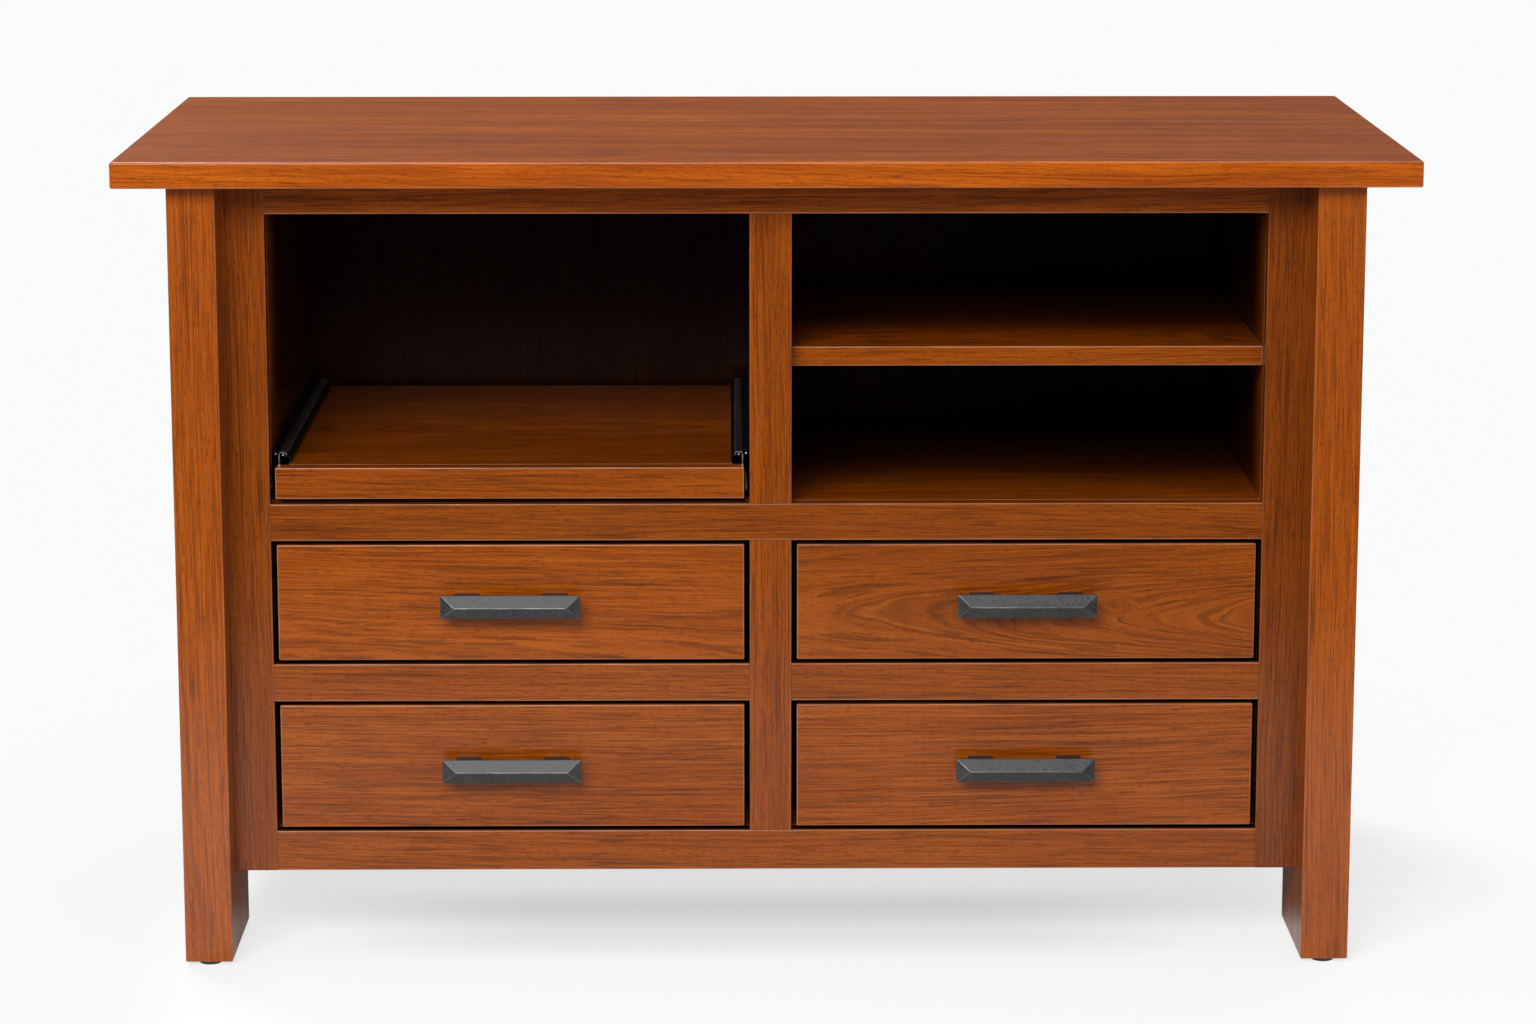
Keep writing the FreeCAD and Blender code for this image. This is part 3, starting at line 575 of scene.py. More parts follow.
def settings_of(label):
    """The values of one property group of the scene, by name."""
    given = getattr(bpy.context.scene, label)
    return {name: getattr(given, name) for name in SETTINGS[label].__annotations__}


def dress(node, material):
    """Puts a material on every slot of a packed node."""
    packed = NODES[node]
    if not packed.material_slots:
        packed.data.materials.append(material)
    for slot in packed.material_slots:
        slot.material = material


# Woods

# How a board is cut from the tree: how deep and how far aside its pith lies and how it tilts along the board,
# and what differs from the wood's own values

FLAT_SAWN = {"Pith Depth": 0.055, "Pith Tilt": 0.045, "Pith Side": 0}
HALF_SAWN = {"Pith Depth": 0.11, "Pith Tilt": 0.03, "Pith Side": 0.085, "Wander": 0.020, "Ripple": 0.003,
             "Line Strength": 0.50, "Fibre Strength": 0.44, "Dash Strength": 0.42}
PLAIN_SAWN = {"Pith Depth": 0.10, "Pith Tilt": 0.014, "Pith Side": 0.17, "Wander": 0.020, "Ripple": 0.0025,
              "Line Strength": 1, "Band Strength": 0.28, "Fibre Strength": 0.48, "Vein Strength": 0.60,
              "Dash Strength": 0.44}
EYE_SAWN = {"Pith Depth": 0.044, "Pith Tilt": 0.050, "Pith Side": 0.016, "Wander": 0.026, "Ripple": 0.004,
            "Ring Spacing": 0.0038, "Line Strength": 0.58, "Band Strength": 0.18, "Fibre Strength": 0.44,
            "Vein Strength": 0.55, "Dash Strength": 0.46, "Cloud Strength": 0.24,
            "Knot": (0.094, -0.004, 0.008), "Knot Reach": (0.030, 0.015, 0.020), "Knot Lift": -0.014}
RIFT_SAWN = {"Pith Depth": 0.22, "Pith Tilt": 0.012, "Pith Side": 0.22, "Wander": 0.012, "Ripple": 0.0025,
             "Band Strength": 0.15, "Dash Strength": 0.46, "Cloud Strength": 0.14}
GLUED_SLAB = {"Pith Depth": 0.09, "Pith Tilt": 0.02, "Pith Side": 0.05, "Wander": 0.016, "Plank Width": 0.106,
              "Plank Spread": 0.4, "Cloud Strength": 0.30, "Band Strength": 0.55, "Vein Strength": 0.40,
              "Dash Strength": 0.35}


def make_wood(node, grain, wood, seed, sawn=FLAT_SAWN, tone=1, joined=False, edge_share=1, stain=None,
              gloss_share=1, lip_tone=1):
    """Lacquered wood for one node: its grain centred on the node's box and turned along the board.

    tone darkens or lightens the board. A joined board meets others at its ends, which get no painted edge
    highlight but show the line of the joint. edge_share and gloss_share are shares of the wood's own painted
    edge highlight and gloss. stain holds values for the painted shade inside the case and in its gaps.
    lip_tone is the tone of a lying board below its upper edge: painted shade on its edge and underside.
    """
    lowest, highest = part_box(node)
    material, bench, place = new_material(wood["name"] + " " + node)
    first, second = [AXES[axis] for axis in grain]
    turn = Matrix((first, second, first.cross(second)))
    rng = random.Random(seed)
    lift = tone * (1 + rng.uniform(-1, 1) * wood["tone_spread"])
    toned = {name: opaque([part * lift for part in wood[name.lower()]]) for name in (*TONES, "Edge")}
    mapping = {"Vector": place, "Rotation": turn.to_euler(), "Location": -(turn @ ((lowest + highest) / 2))}
    centred = bench.add("ShaderNodeMapping", mapping, vector_type="POINT").outputs[0]
    values = {
        "Place": centred, "Seed": seed + rng.random(), "Plank Width": wood["single_board"],
        "Ring Spacing": wood["ring_spacing"], "Wander": wood["wander"], "Ripple": wood["ripple"],
        **{mark + " Strength": wood[mark.lower() + "_share"] for mark in MARKS},
        **{name: toned[name] for name in TONES}, **sawn,
    }
    values["Pith Side"] += rng.uniform(-1, 1) * wood["centre_drift"]
    values["Pith Tilt"] *= rng.choice((-1, 1))
    board = bench.group("Sawn board", values).outputs
    edges = bench.group("Rubbed edges", {
        "Place": centred, "Half Size": [abs(part) / 2 for part in turn @ (highest - lowest)],
        "Width": wood["edge_width"], "Joint Width": wood["joint_width"], "Ends": 0 if joined else 1,
        "Strength": wood["edge_share"] * edge_share, "Joint Strength": wood["joint_share"] if joined else 0,
    }).outputs
    # Painted highlight: a pale line along the board's edges; the dark lines at joined ends are real joints.
    shade = bench.mixed(edges["Edge"], board["Colour"], toned["Edge"])
    shade = bench.mixed(edges["Joint"], shade, toned["Line"])
    # Painted shade: below its upper edge a lying board is a little darker than on its upper face.
    if lip_tone != 1:
        lip = bench.spread(bench.parts(place)[2], highest.z - wood["edge_width"], highest.z, lip_tone, 1)
        shade = bench.scaled(shade, lip)
    # Painted shade inside the case and in the gaps round the fronts.
    if stain:
        shade = bench.group("Inside stain", {"Place": place, "Colour": shade, **stain}).outputs["Colour"]
    rough = bench.spread(board["Streaks"], 0, 1, wood["roughness"] + wood["rough_drift"],
                         wood["roughness"] - wood["rough_drift"])
    finish_surface(bench, shade, board["Height"], wood["grain_depth"],
                   {"Roughness": rough, "Specular IOR Level": wood["specular"] * gloss_share})
    return material


def cherry():
    """The values of the lacquered cherry."""
    return {"name": "Cherry", **settings_of("cabinet_cherry")}


def box_wood():
    """The values of the pale wood of the drawer boxes, where they differ from the cherry's."""
    return {**settings_of("cabinet_cherry"), "name": "Maple", **settings_of("cabinet_box_wood")}


def dress_boards(nodes, grain, first_seed, wood=None, **values):
    """Gives each named board its own piece of wood, cherry unless another is given, with the next seed."""
    for seed, node in enumerate(nodes, start=first_seed):
        dress(node, make_wood(node, grain, wood or cherry(), seed, **values))


def bay_painted_shade(node, kind):
    """Painted shade inside the bays for a wall or a floor, darkening as far as the middle of the back panel.
    """
    given = settings_of("cabinet_stain")
    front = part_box(node)[0].y
    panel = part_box("back_panel")
    stain = {"Front": front + given[kind + "_start"], "Back": front + given[kind + "_depth"],
             "Outer Face": (panel[0].y + panel[1].y) / 2, "Strength": given[kind + "_share"]}
    return {"stain": stain, "gloss_share": given[kind + "_gloss"]}


def gap_painted_shade(node, kind, ceiling=NO_CEILING):
    """Painted shade on the sides of the gaps round a frame piece or a front, between its faces and below a
    ceiling.
    """
    given = settings_of("cabinet_stain")
    lowest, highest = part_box(node)
    return {"Front": lowest.y + given["gap_start"], "Back": lowest.y + given["gap_depth"],
            "Outer Face": highest.y - given["gap_start"], "Ceiling": ceiling,
            "Strength": given[kind + "_gap_share"]}


# Grain of a board: the axis that it runs along, and the axis across the board's face

LYING = ("x", "y")
LYING_DEEP = ("y", "x")
FACING = ("x", "z")
FACING_UPRIGHT = ("z", "x")
SIDE_UPRIGHT = ("z", "y")
SIDE_DEEP = ("y", "z")

# Tones of the face frame's boards, and the cut and tone of each drawer front

STILE_TONES = {"stile_left": 0.70, "stile_right": 0.59, "centre_stile_upper": 0.77,
               "centre_stile_lower": 0.80}
RAIL_TONES = {"top_rail": 0.93, "mid_rail": 0.69, "bottom_rail": 0.82, "drawer_rail_left": 0.77,
              "drawer_rail_right": 0.79}
DRAWER_FRONTS = {
    "upper_drawer_left": (HALF_SAWN, 0.90),
    "upper_drawer_right": (EYE_SAWN, 0.80),
    "lower_drawer_left": (PLAIN_SAWN, 0.87),
    "lower_drawer_right": (PLAIN_SAWN, 0.87),
}
# Share of the painted edge highlight on the legs and stiles.
FAINT_EDGE_SHARE = 0.35

# The grain and the first seed of the drawers' other boards, and the first seeds of fronts, stiles and rails

DRAWER_BOARDS = {"sides": (SIDE_DEEP, 91), "back": (FACING, 101), "bottom": (LYING, 111)}
FRONT_SEED = 81
STILE_SEED = 41
RAIL_SEED = 51


# Metals and plastic

# Faces of the pulls' softened edges, which get a painted highlight.
EDGE_MARK = "worn_edge"
EVEN_GRAIN = (900, 900, 900)
PULL_GRAIN = (620, 620, 620)
ROLLED_GRAIN = (1500, 60, 1500)


def make_metal(name, kind, metallic, grain, strength=0.05, edge=None, specular=0.5):
    """Metal or plastic of a kind in the settings. edge is the colour of the painted highlight on its marked
    edges.
    """
    given = settings_of("cabinet_metal")
    tint = given[kind + "_colour"]
    material, bench, place = new_material(name)
    values = {"Place": place, "Grain": grain, "Colour": opaque(tint), "Edge Colour": opaque(edge or tint),
              "Edge Shine": given["edge_shine"], "Strength": strength,
              "Roughness": given[kind + "_roughness"]}
    if edge:
        values["Edge"] = bench.add("ShaderNodeAttribute", attribute_name=EDGE_MARK).outputs["Fac"]
    speckle = bench.group("Metal speckle", values).outputs
    finish_surface(bench, speckle["Colour"], speckle["Height"], given["relief"],
                   {"Roughness": speckle["Roughness"], "Metallic": metallic, "Specular IOR Level": specular})
    return material


def pull_metal():
    """Gunmetal of the pulls."""
    given = bpy.context.scene.cabinet_metal
    return make_metal("Gunmetal", "pull", given.pull_metal_share, PULL_GRAIN, given.pull_speckle,
                      given.pull_edge_colour)


def zinc():
    """Zinc of the screws, pins and middle members."""
    return make_metal("Zinc", "zinc", 1, ROLLED_GRAIN)


def black_steel():
    """Black coat of the slides."""
    given = bpy.context.scene.cabinet_metal
    return make_metal("Black steel", "slide", given.slide_metal_share, ROLLED_GRAIN,
                      specular=given.slide_specular)


# Mesh work

def new_piece(name, mesh_work, material, body, replaced=()):
    """A finished piece from a bmesh, riding on a body and standing for the replaced nodes."""
    mesh = bpy.data.meshes.new(name)
    mesh_work.to_mesh(mesh)
    mesh_work.free()
    piece = bpy.data.objects.new(name, mesh)
    bpy.context.scene.collection.objects.link(piece)
    piece.data.materials.append(material)
    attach(piece, body)
    if replaced:
        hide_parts(*replaced)


def add_block(work, size, centre):
    """A box in a bmesh. Returns its vertices."""
    place = Matrix.Translation(centre) @ Matrix.Diagonal((*size, 1))
    return bmesh.ops.create_cube(work, size=1, matrix=place)["verts"]


def faces_of(vertices):
    """The faces that these vertices share."""
    return list({face for vertex in vertices for face in vertex.link_faces})


def edges_of(vertices):
    """The edges that these vertices share."""
    return list({edge for vertex in vertices for edge in vertex.link_edges})


def soften(work, edges, amount, steps=2, mark=None):
    """Rounds edges, and marks the new faces where a mark is given."""
    made = bmesh.ops.bevel(work, geom=edges, offset=amount, offset_type="OFFSET", segments=steps, profile=0.5,
                           affect="EDGES", clamp_overlap=True, material=-1)
    if mark:
        for face in made["faces"]:
            face[mark] = 1


def add_disc(work, diameter, depth, centre, axis, segments=32):
    """A round bar or disc along an axis. Returns its vertices."""
    turn = Vector((0, 0, 1)).rotation_difference(axis).to_matrix().to_4x4()
    radii = {"radius1": diameter / 2, "radius2": diameter / 2}
    return bmesh.ops.create_cone(work, cap_ends=True, segments=segments, depth=depth, **radii,
                                 matrix=Matrix.Translation(centre) @ turn)["verts"]


# Pulls

POST_ROUNDING = 4
RECESS_SHARE = 0.25
RIM_SHARE = 0.25


def build_pull(node, material, screw_material):
    """A hipped bar on two posts, and its two screws inside the drawer."""
    given = bpy.context.scene.cabinet_pull
    lowest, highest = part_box(node)
    middle = (lowest + highest) / 2
    front_face = lowest.y + given.slope + given.edge + given.post_depth
    work = bmesh.new()
    mark = work.faces.layers.float.new(EDGE_MARK)
    slab_middle = front_face - given.post_depth - given.edge / 2
    bar = add_block(work, (given.length, given.edge, given.height), (middle.x, slab_middle, middle.z))
    front = min(faces_of(bar), key=lambda face: face.calc_center_median().y)
    roof = bmesh.ops.extrude_face_region(work, geom=[front])["geom"]
    top = [part for part in roof if isinstance(part, bmesh.types.BMVert)]
    bmesh.ops.delete(work, geom=[front], context="FACES_ONLY")
    bmesh.ops.translate(work, verts=top, vec=(0, -given.slope, 0))
    narrowed = ((given.length - 2 * given.hip) / given.length, 1, given.ridge / given.height)
    bmesh.ops.scale(work, verts=top, vec=narrowed, space=Matrix.Translation(-middle))
    soften(work, edges_of(bar + top), given.softness, steps=3, mark=mark)
    for side in (-1, 1):
        centre = (middle.x + side * given.post_spacing / 2, front_face - given.post_depth / 2, middle.z)
        post = add_block(work, (given.post_width, given.post_depth, given.post_height), centre)
        upright = [edge for edge in edges_of(post)
                   if abs(edge.verts[0].co.y - edge.verts[1].co.y) > given.post_depth / 2]
        soften(work, upright, given.softness * POST_ROUNDING, steps=4)
    new_piece(node + "_bar", work, material, BODY_OF_NODE[node], [node])

    screws = bmesh.new()
    back = highest.y - given.head_height
    for side in (-1, 1):
        x = middle.x + side * given.post_spacing / 2
        shank_length = back - front_face + given.screw_grip
        shank = (x, back - shank_length / 2, middle.z)
        add_disc(screws, given.screw_diameter, shank_length, shank, AXES["y"], segments=20)
        head_centre = (x, back + given.head_height / 2, middle.z)
        head = add_disc(screws, given.head_diameter, given.head_height, head_centre, AXES["y"])
        cap = max(faces_of(head), key=lambda face: face.calc_center_median().y)
        rim = list(cap.edges)
        bmesh.ops.inset_region(screws, faces=[cap], thickness=given.head_diameter * RECESS_SHARE, depth=0)
        bmesh.ops.translate(screws, verts=list(cap.verts), vec=(0, -given.head_height / 2, 0))
        soften(screws, rim, given.head_height * RIM_SHARE)
    new_piece(node + "_screws", screws, screw_material, BODY_OF_NODE[node], [node])


# Slides of the pull-out shelf

PLAY_SHARE = 0.25


def add_sheet(work, corners, front, back, gauge, bend):
    """Sheet steel bent along corners in X and Z, drawn along Y. A gauge below 0 thickens the other way."""
    before = set(work.faces)
    x, z = corners[0]
    edge = work.edges.new([work.verts.new((x, y, z)) for y in (front, back)])
    bends = []
    for (from_x, from_z), (to_x, to_z) in zip(corners, corners[1:]):
        made = bmesh.ops.extrude_edge_only(work, edges=[edge])["geom"]
        ends = [part for part in made if isinstance(part, bmesh.types.BMVert)]
        bmesh.ops.translate(work, verts=ends, vec=(to_x - from_x, 0, to_z - from_z))
        edge = work.edges.get(ends)
        bends.append(edge)
    soften(work, bends[:-1], bend, steps=4)
    strip = [face for face in work.faces if face not in before]
    bmesh.ops.solidify(work, geom=strip, thickness=gauge)
    shell = [face for face in work.faces if face not in before]
    bmesh.ops.recalc_face_normals(work, faces=shell)


def add_ball_row(work, diameter, count, x, z, front, back):
    """A row of balls along Y."""
    for index in range(count):
        y = front + diameter / 2 + (back - front - diameter) * index / (count - 1)
        balls = bmesh.ops.create_uvsphere(work, u_segments=16, v_segments=10, radius=diameter / 2,
                                          matrix=Matrix.Translation((x, y, z)))["verts"]
        for face in faces_of(balls):
            face.smooth = True


def mirrored_corners(points, wall, inward, top, foot):
    """Corners from points measured from the wall and the slide's edge, mirrored from top to foot."""
    upper = [(wall + inward * across, top - down) for across, down in points]
    lower = [(wall + inward * across, foot + down) for across, down in reversed(points)]
    return upper + lower


def build_slides(coat, bright):
    """The cabinet, middle and shelf members of both slides, with the rows of balls between them."""
    given = bpy.context.scene.cabinet_slides
    lowest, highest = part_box("pullout_slide_cabinet_channels")
    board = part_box("pullout_shelf_board")
    top, foot, front, back = highest.z, lowest.z, lowest.y, highest.y
    space = board[0].x - lowest.x
    outer_reach = space * given.outer_reach_share
    web = space * given.web_share
    reach = space * given.middle_reach_share
    middle_drop = given.gauge + given.gauge * PLAY_SHARE
    inner_drop = middle_drop + given.gauge + given.ball
    ball_drop = given.gauge + given.ball / 2
    members = {
        "cabinet": ([(outer_reach, given.lip), (outer_reach, 0), (0, 0)], given.gauge),
        "middle": ([(reach, middle_drop + given.lip), (reach, middle_drop), (web, middle_drop)], given.gauge),
        "shelf": ([(web + given.lip, inner_drop), (space, inner_drop)], -given.gauge),
    }
    rows = {"outer": (outer_reach / 2, ball_drop), "inner": ((web + reach) / 2, middle_drop + ball_drop)}
    works = {name: bmesh.new() for name in (*members, *rows)}
    for wall, inward in ((lowest.x, 1), (highest.x, -1)):
        for name, (points, gauge) in members.items():
            corners = mirrored_corners(points, wall, inward, top, foot)
            add_sheet(works[name], corners, front, back, inward * gauge, given.corner)
        for name, (across, down) in rows.items():
            for z in (top - down, foot + down):
                add_ball_row(works[name], given.ball, given.ball_count, wall + inward * across, z, front,
                             front + given.cage)
    for name in members:
        node = "pullout_slide_%s_channels" % name
        finish, slot = (bright, "bright_steel") if name == "middle" else (coat, "black_steel")
        new_piece("pullout_slide_%s_members" % name, works[name], finish, BODY_OF_NODE[node], [node])
    for name, body in (("outer", "cabinet"), ("inner", "pullout_slide_middle")):
        new_piece("pullout_slide_%s_balls" % name, works[name], bright, body)


# Studio

FADE_FACTOR = 2
KEY_SIZE = (3.0, 2.0)
FILL_SIZE = (2.0, 2.0)
BACK_SIZE = (2.0, 1.5)


def add_lamp(name, power, size, place, aim):
    """A soft rectangular lamp aimed at a point."""
    lamp = bpy.data.lights.new(name, "AREA")
    lamp.shape = "RECTANGLE"
    lamp.size, lamp.size_y = size
    lamp.energy = power
    stand = bpy.data.objects.new(name, lamp)
    stand.location = place
    stand.rotation_euler = (Vector(aim) - Vector(place)).to_track_quat("-Z", "Y").to_euler()
    bpy.context.scene.collection.objects.link(stand)


def seen_rays(bench, glossy_share):
    """One for the camera's rays and those through a surface, and a share for those that a gloss mirrors."""
    path = bench.add("ShaderNodeLightPath").outputs
    glossy = bench.times(path["Is Glossy Ray"], glossy_share)
    return bench.math("MAXIMUM", path["Is Camera Ray"], glossy, path["Is Transmission Ray"])


def make_backdrop(given):
    """A plain world: a little light from all round, and the pale backdrop for the rays that show it."""
    world = bpy.data.worlds.new("Studio")
    world.use_nodes = True
    bpy.context.scene.world = world
    bench = Bench(world.node_tree)
    room = bench.times(bench.add("ShaderNodeLightPath").outputs["Is Diffuse Ray"], given.room_light)
    strength = bench.math("MAXIMUM", room, seen_rays(bench, given.backdrop_gloss))
    pale = bench.add("ShaderNodeBackground", {"Color": opaque(given.backdrop), "Strength": strength})
    bench.add("ShaderNodeOutputWorld", {"Surface": pale.outputs[0]})


def make_floor(given):
    """A round pale floor that keeps the object's shadow and melts into the backdrop at its rim."""
    work = bmesh.new()
    bmesh.ops.create_circle(work, cap_ends=True, radius=given.floor_radius, segments=96)
    mesh = bpy.data.meshes.new("studio_floor")
    work.to_mesh(mesh)
    work.free()
    floor = bpy.data.objects.new("studio_floor", mesh)
    bpy.context.scene.collection.objects.link(floor)
    material, bench, place = new_material("Studio floor")
    away = bench.reach(place)
    gone = bench.spread(away, given.floor_radius * given.floor_fade_share, given.floor_radius)
    gloss_reach = given.floor_gloss_reach
    mirrored = bench.spread(away, gloss_reach, FADE_FACTOR * gloss_reach, given.floor_gloss, 0)
    glossy = bench.add("ShaderNodeLightPath").outputs["Is Glossy Ray"]
    tone = bench.mixed(glossy, opaque([given.floor_albedo] * len(ONES)), bench.scaled(ONES, mirrored))
    plain = bench.add("ShaderNodeBsdfDiffuse", {"Color": tone})
    from_contact = bench.vector("SUBTRACT", place, given.contact_place)
    gaps = bench.parts(bench.vector("DIVIDE", from_contact, given.contact_reach))
    contact = given.contact_shade
    for gap in (gaps[0], gaps[1]):
        near_contact = bench.spread(bench.math("ABSOLUTE", gap), 1, given.contact_core_share)
        contact = bench.times(near_contact, contact)
    strength = bench.minus(given.floor_glow, contact)
    glow = bench.add("ShaderNodeEmission", {"Color": opaque(given.backdrop), "Strength": strength})
    lit_share = bench.spread(bench.parts(place)[0], given.floor_left, given.floor_middle,
                             given.floor_left_shade, given.floor_shade)
    shaded = bench.add("ShaderNodeBsdfDiffuse", {"Color": bench.scaled(ONES, lit_share)})
    near = bench.add("ShaderNodeAddShader", {0: glow.outputs[0], 1: shaded.outputs[0]})
    far = bench.add("ShaderNodeEmission", {"Color": opaque(given.backdrop), "Strength": 1})
    unshaded = bench.spread(away, given.shade_reach, FADE_FACTOR * given.shade_reach)
    white = bench.add("ShaderNodeMixShader", {0: unshaded, 1: near.outputs[0], 2: far.outputs[0]})
    seen_share = seen_rays(bench, 0)
    seen = bench.add("ShaderNodeMixShader", {0: seen_share, 1: plain.outputs[0], 2: white.outputs[0]})
    clear = bench.add("ShaderNodeBsdfTransparent")
    whole = bench.add("ShaderNodeMixShader", {0: gone, 1: seen.outputs[0], 2: clear.outputs[0]})
    bench.add("ShaderNodeOutputMaterial", {"Surface": whole.outputs[0]})
    mesh.materials.append(material)


def make_camera(given):
    """The camera at the photograph's place."""
    camera = bpy.data.objects.new("studio_camera", bpy.data.cameras.new("studio_camera"))
    camera.location = given.camera_place
    camera.rotation_euler = (math.pi / 2 + given.camera_pitch, 0, given.camera_turn)
    camera.data.lens = given.camera_lens
    camera.data.shift_y = given.camera_shift
    camera.data.clip_end = given.view_depth
    bpy.context.scene.collection.objects.link(camera)
    bpy.context.scene.camera = camera


# Operators, one for each group of pieces

class CABINET_OT_finish_top(bpy.types.Operator):
    """Gives the top its glued boards of lacquered cherry"""

    bl_idname = "cabinet.finish_top"
    bl_label = "Finish Top"

    def execute(self, context):
        # Painted light: the top's raised tone is partly the board's own and partly stands for light on it;
        # the lip tone paints shade on its edge and underside.
        dress_boards(["top_panel"], LYING, first_seed=11, sawn=GLUED_SLAB, tone=1.34, lip_tone=0.96)
        return {"FINISHED"}


class CABINET_OT_finish_legs(bpy.types.Operator):
    """Gives the four slab legs and the side frames their upright cherry"""

    bl_idname = "cabinet.finish_legs"
    bl_label = "Finish Legs and Sides"

    def execute(self, context):
        legs = ["%s_leg_%s" % (end, side) for end in ("front", "back") for side in ("left", "right")]
        dress_boards(legs, SIDE_UPRIGHT, first_seed=25, sawn=RIFT_SAWN, tone=1.02,
                     edge_share=FAINT_EDGE_SHARE, gloss_share=1.4)
        dress_boards(["side_panel_left", "side_panel_right"], SIDE_UPRIGHT, first_seed=31)
        dress_boards(["side_rails"], SIDE_DEEP, first_seed=33)
        return {"FINISHED"}


class CABINET_OT_finish_face_frame(bpy.types.Operator):
    """Gives the stiles and rails of the face frame their cherry"""

    bl_idname = "cabinet.finish_face_frame"
    bl_label = "Finish Face Frame"

    def execute(self, context):
        lowest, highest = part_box("mid_rail")
        drawers_end = (lowest.z + highest.z) / 2
        shelf_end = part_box("pullout_shelf_strip")[1].z
        ceilings = {"stile_left": shelf_end, "centre_stile_upper": shelf_end}
        for tones, grain, first_seed, edge_share in (
            (STILE_TONES, FACING_UPRIGHT, STILE_SEED, FAINT_EDGE_SHARE), (RAIL_TONES, FACING, RAIL_SEED, 1)
        ):
            for seed, (node, tone) in enumerate(tones.items(), start=first_seed):
                # Painted shade darkens the sides of the openings in the gaps, below each ceiling.
                stain = gap_painted_shade(node, "frame", ceilings.get(node, drawers_end))
                dress_boards([node], grain, seed, sawn=RIFT_SAWN, tone=tone, joined=True,
                             edge_share=edge_share, stain=stain)
        return {"FINISHED"}


class CABINET_OT_finish_case(bpy.types.Operator):
    """Gives the walls, floors and back of the case their cherry, darkened inside by painted shade"""

    bl_idname = "cabinet.finish_case"
    bl_label = "Finish Case"

    def execute(self, context):
        walls = ["case_side_left", "case_side_right", "divider_left", "divider_right"]
        wall_painted_shade = bay_painted_shade("case_side_left", "wall")
        dress_boards(walls, SIDE_UPRIGHT, first_seed=61, sawn=RIFT_SAWN, **wall_painted_shade)
        dress_boards(["back_panel"], FACING_UPRIGHT, first_seed=65, **wall_painted_shade)
        dress_boards(["bay_floors"], LYING, first_seed=66, tone=0.88, **bay_painted_shade("bay_floors", "floor"))
        dress_boards(["bottom_panel"], LYING, first_seed=67)
        dress_boards(["back_rails"], FACING, first_seed=68)
        dress_boards(["cleats_and_spacers"], LYING_DEEP, first_seed=69, wood=box_wood())
        return {"FINISHED"}


class CABINET_OT_finish_shelves(bpy.types.Operator):
    """Gives the open shelf and the pull-out shelf their cherry"""

    bl_idname = "cabinet.finish_shelves"
    bl_label = "Finish Shelves"

    def execute(self, context):
        # Partly painted shade: this darker tone is partly the boards' own, and on the pull-out board it
        # stands for the shadow of a printer that is not there.
        tone = 0.82
        shelf_painted_shade = bay_painted_shade("open_shelf", "floor")
        dress_boards(["open_shelf"], LYING, first_seed=71, sawn=RIFT_SAWN, tone=tone, **shelf_painted_shade)
        dress_boards(["pullout_shelf_board"], LYING, first_seed=72, tone=tone, gloss_share=1.6)
        dress_boards(["pullout_shelf_strip"], FACING, first_seed=73, sawn=RIFT_SAWN, tone=tone)
        return {"FINISHED"}


class CABINET_OT_finish_drawers(bpy.types.Operator):
    """Gives the drawer fronts their figured cherry and the drawer boxes their pale wood"""

    bl_idname = "cabinet.finish_drawers"
    bl_label = "Finish Drawers"

    def execute(self, context):
        for number, (drawer, (cut, tone)) in enumerate(DRAWER_FRONTS.items()):
            front = drawer + "_front"
            # Painted shade darkens the front's edges in the gaps round it.
            stain = gap_painted_shade(front, "front")
            dress_boards([front], FACING, FRONT_SEED + number, sawn=cut, tone=tone, stain=stain)
            for board, (grain, seed) in DRAWER_BOARDS.items():
                dress_boards(["%s_%s" % (drawer, board)], grain, seed + number, wood=box_wood())
        return {"FINISHED"}


class CABINET_OT_build_pulls(bpy.types.Operator):
    """Builds the four hipped bar pulls with their posts and screws"""

    bl_idname = "cabinet.build_pulls"
    bl_label = "Build Pulls"

    def execute(self, context):
        gunmetal, plated = pull_metal(), zinc()
        for drawer in DRAWER_FRONTS:
            build_pull(drawer + "_pull", gunmetal, plated)
        return {"FINISHED"}


class CABINET_OT_build_slides(bpy.types.Operator):
    """Builds the pull-out shelf's slides and coats the drawer slides"""

    bl_idname = "cabinet.build_slides"
    bl_label = "Build Slides"

    def execute(self, context):
        coat, bright = black_steel(), zinc()
        build_slides(coat, bright)
        for drawer in DRAWER_FRONTS:
            dress(drawer + "_slide_channels", coat)
        dress("drawer_cabinet_channels", coat)
        return {"FINISHED"}


class CABINET_OT_finish_hardware(bpy.types.Operator):
    """Finishes the screws, the shelf pins and the glides"""

    bl_idname = "cabinet.finish_hardware"
    bl_label = "Finish Small Hardware"

    def execute(self, context):
        plated = zinc()
        for node in ("top_screws", "shelf_pins"):
            dress(node, plated)
        dress("glides", make_metal("Glide plastic", "glide", 0, EVEN_GRAIN))
        return {"FINISHED"}


class CABINET_OT_set_stage(bpy.types.Operator):
    """Sets up the pale floor, the soft lamps, the backdrop and the camera"""

    bl_idname = "cabinet.set_stage"
    bl_label = "Set Stage"

    def execute(self, context):
        given = context.scene.cabinet_stage
        context.scene.view_settings.view_transform = "Standard"
        make_backdrop(given)
        make_floor(given)
        make_camera(given)
        x, y, z = given.back_place
        right_power = given.back_power * given.back_right_share
        for name, power, size, place in (
            ("key_lamp", given.key_power, KEY_SIZE, given.key_place),
            ("fill_lamp", given.fill_power, FILL_SIZE, given.fill_place),
            ("back_lamp_left", given.back_power, BACK_SIZE, (-x, y, z)),
            ("back_lamp_right", right_power, BACK_SIZE, (x, y, z)),
        ):
            add_lamp(name, power, size, place, aim=(0, 0, given.aim_height))
        return {"FINISHED"}


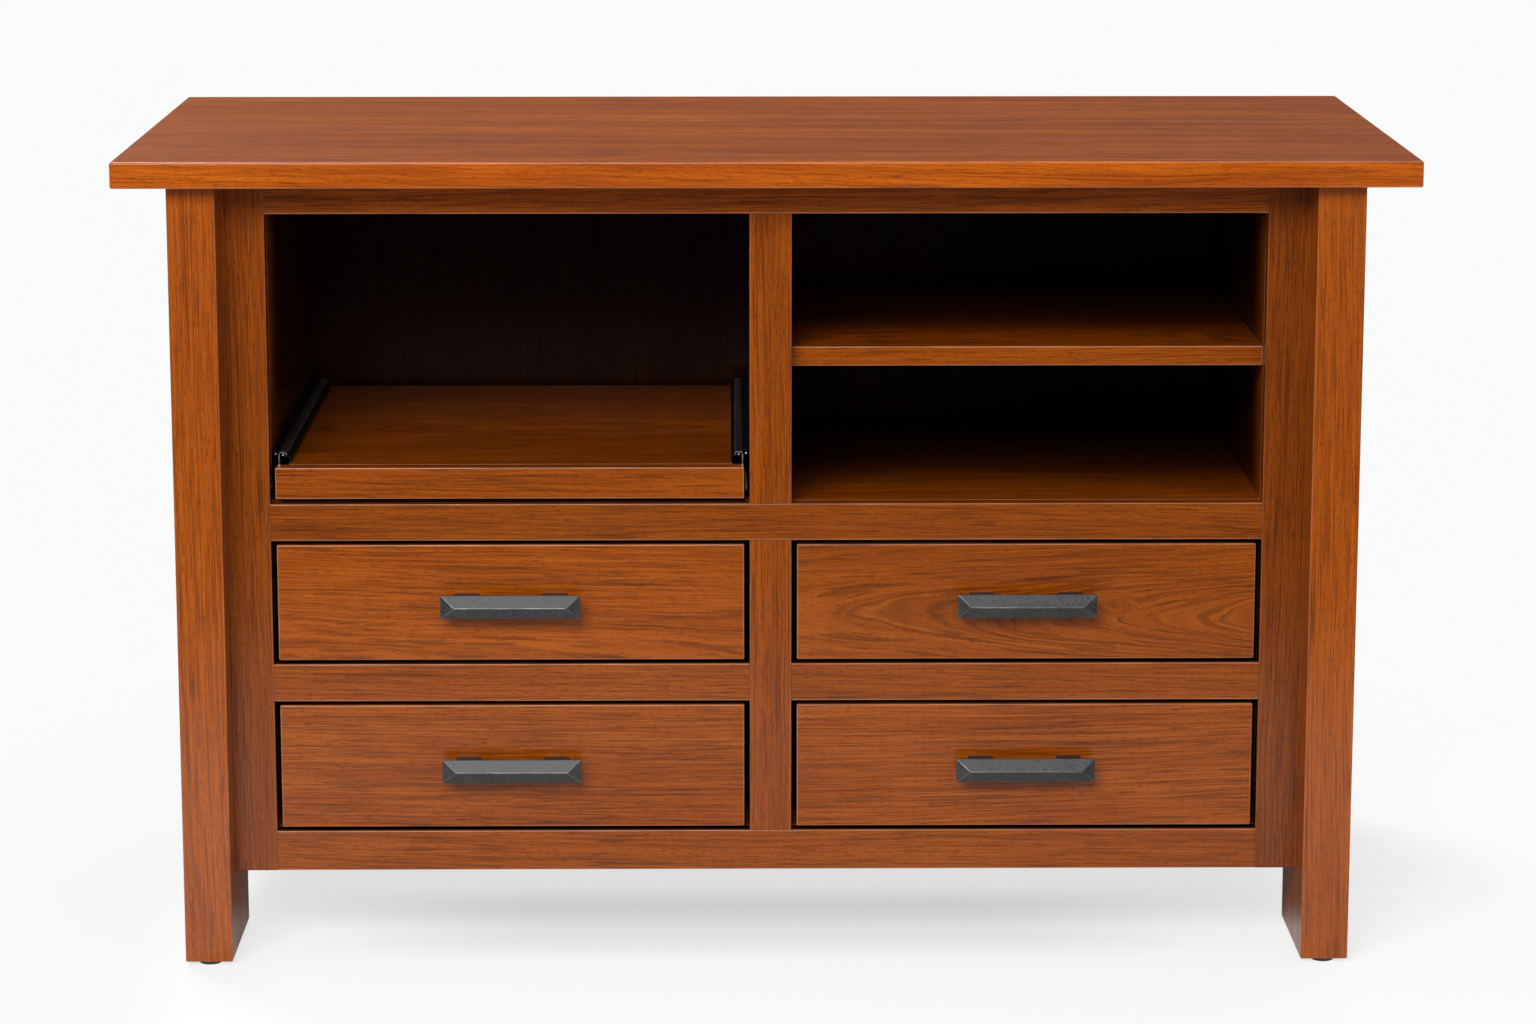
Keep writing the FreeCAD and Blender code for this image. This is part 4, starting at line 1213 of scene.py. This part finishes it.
class CABINET_PT_finish(bpy.types.Panel):
    """Lists the steps of the cabinet's finish"""

    bl_idname = "CABINET_PT_finish"
    bl_label = "Storage Cabinet"
    bl_space_type = "VIEW_3D"
    bl_region_type = "UI"
    bl_category = "Cabinet"

    def draw(self, context):
        for step in STEPS:
            self.layout.operator(step.bl_idname)
        for label, settings in SETTINGS.items():
            given = getattr(context.scene, label)
            section = self.layout.box()
            section.label(text=settings.__doc__)
            for name in settings.__annotations__:
                section.prop(given, name)


SETTINGS = {
    "cabinet_cherry": CherrySettings,
    "cabinet_box_wood": BoxWoodSettings,
    "cabinet_stain": PaintedShadeSettings,
    "cabinet_metal": MetalSettings,
    "cabinet_pull": PullSettings,
    "cabinet_slides": SlideSettings,
    "cabinet_stage": StageSettings,
}
STEPS = (
    CABINET_OT_finish_top,
    CABINET_OT_finish_legs,
    CABINET_OT_finish_face_frame,
    CABINET_OT_finish_case,
    CABINET_OT_finish_shelves,
    CABINET_OT_finish_drawers,
    CABINET_OT_build_pulls,
    CABINET_OT_build_slides,
    CABINET_OT_finish_hardware,
    CABINET_OT_set_stage,
)


def register():
    """Names every setting after its field, and registers the add-on."""
    for kind in SETTINGS.values():
        for field, held in kind.__annotations__.items():
            held.keywords["name"] = field.replace("_", " ").capitalize()
    for kind in (*SETTINGS.values(), *STEPS, CABINET_PT_finish):
        bpy.utils.register_class(kind)
    for label, kind in SETTINGS.items():
        setattr(bpy.types.Scene, label, PointerProperty(type=kind))


def unregister():
    """Takes the add-on out again."""
    for label in SETTINGS:
        delattr(bpy.types.Scene, label)
    for kind in reversed((*SETTINGS.values(), *STEPS, CABINET_PT_finish)):
        bpy.utils.unregister_class(kind)


def check_finished():
    """Stops the script if a packed node still shows the plain finish of the pack."""
    plain = [name for name, packed in NODES.items()
             if not packed.hide_render and any(slot.material is None or not slot.material.use_nodes
                                               or slot.material.name in SLOT_OF_NODE.values()
                                               for slot in packed.material_slots)]
    if plain:
        raise RuntimeError("these nodes have no finish: %s" % plain)


def main():
    """Registers the add-on, runs its operators in order and checks that every shown node has a finish."""
    register()
    for step in STEPS:
        group, name = step.bl_idname.split(".")
        getattr(getattr(bpy.ops, group), name)()
    check_finished()


if __name__ == "__main__":
    main()
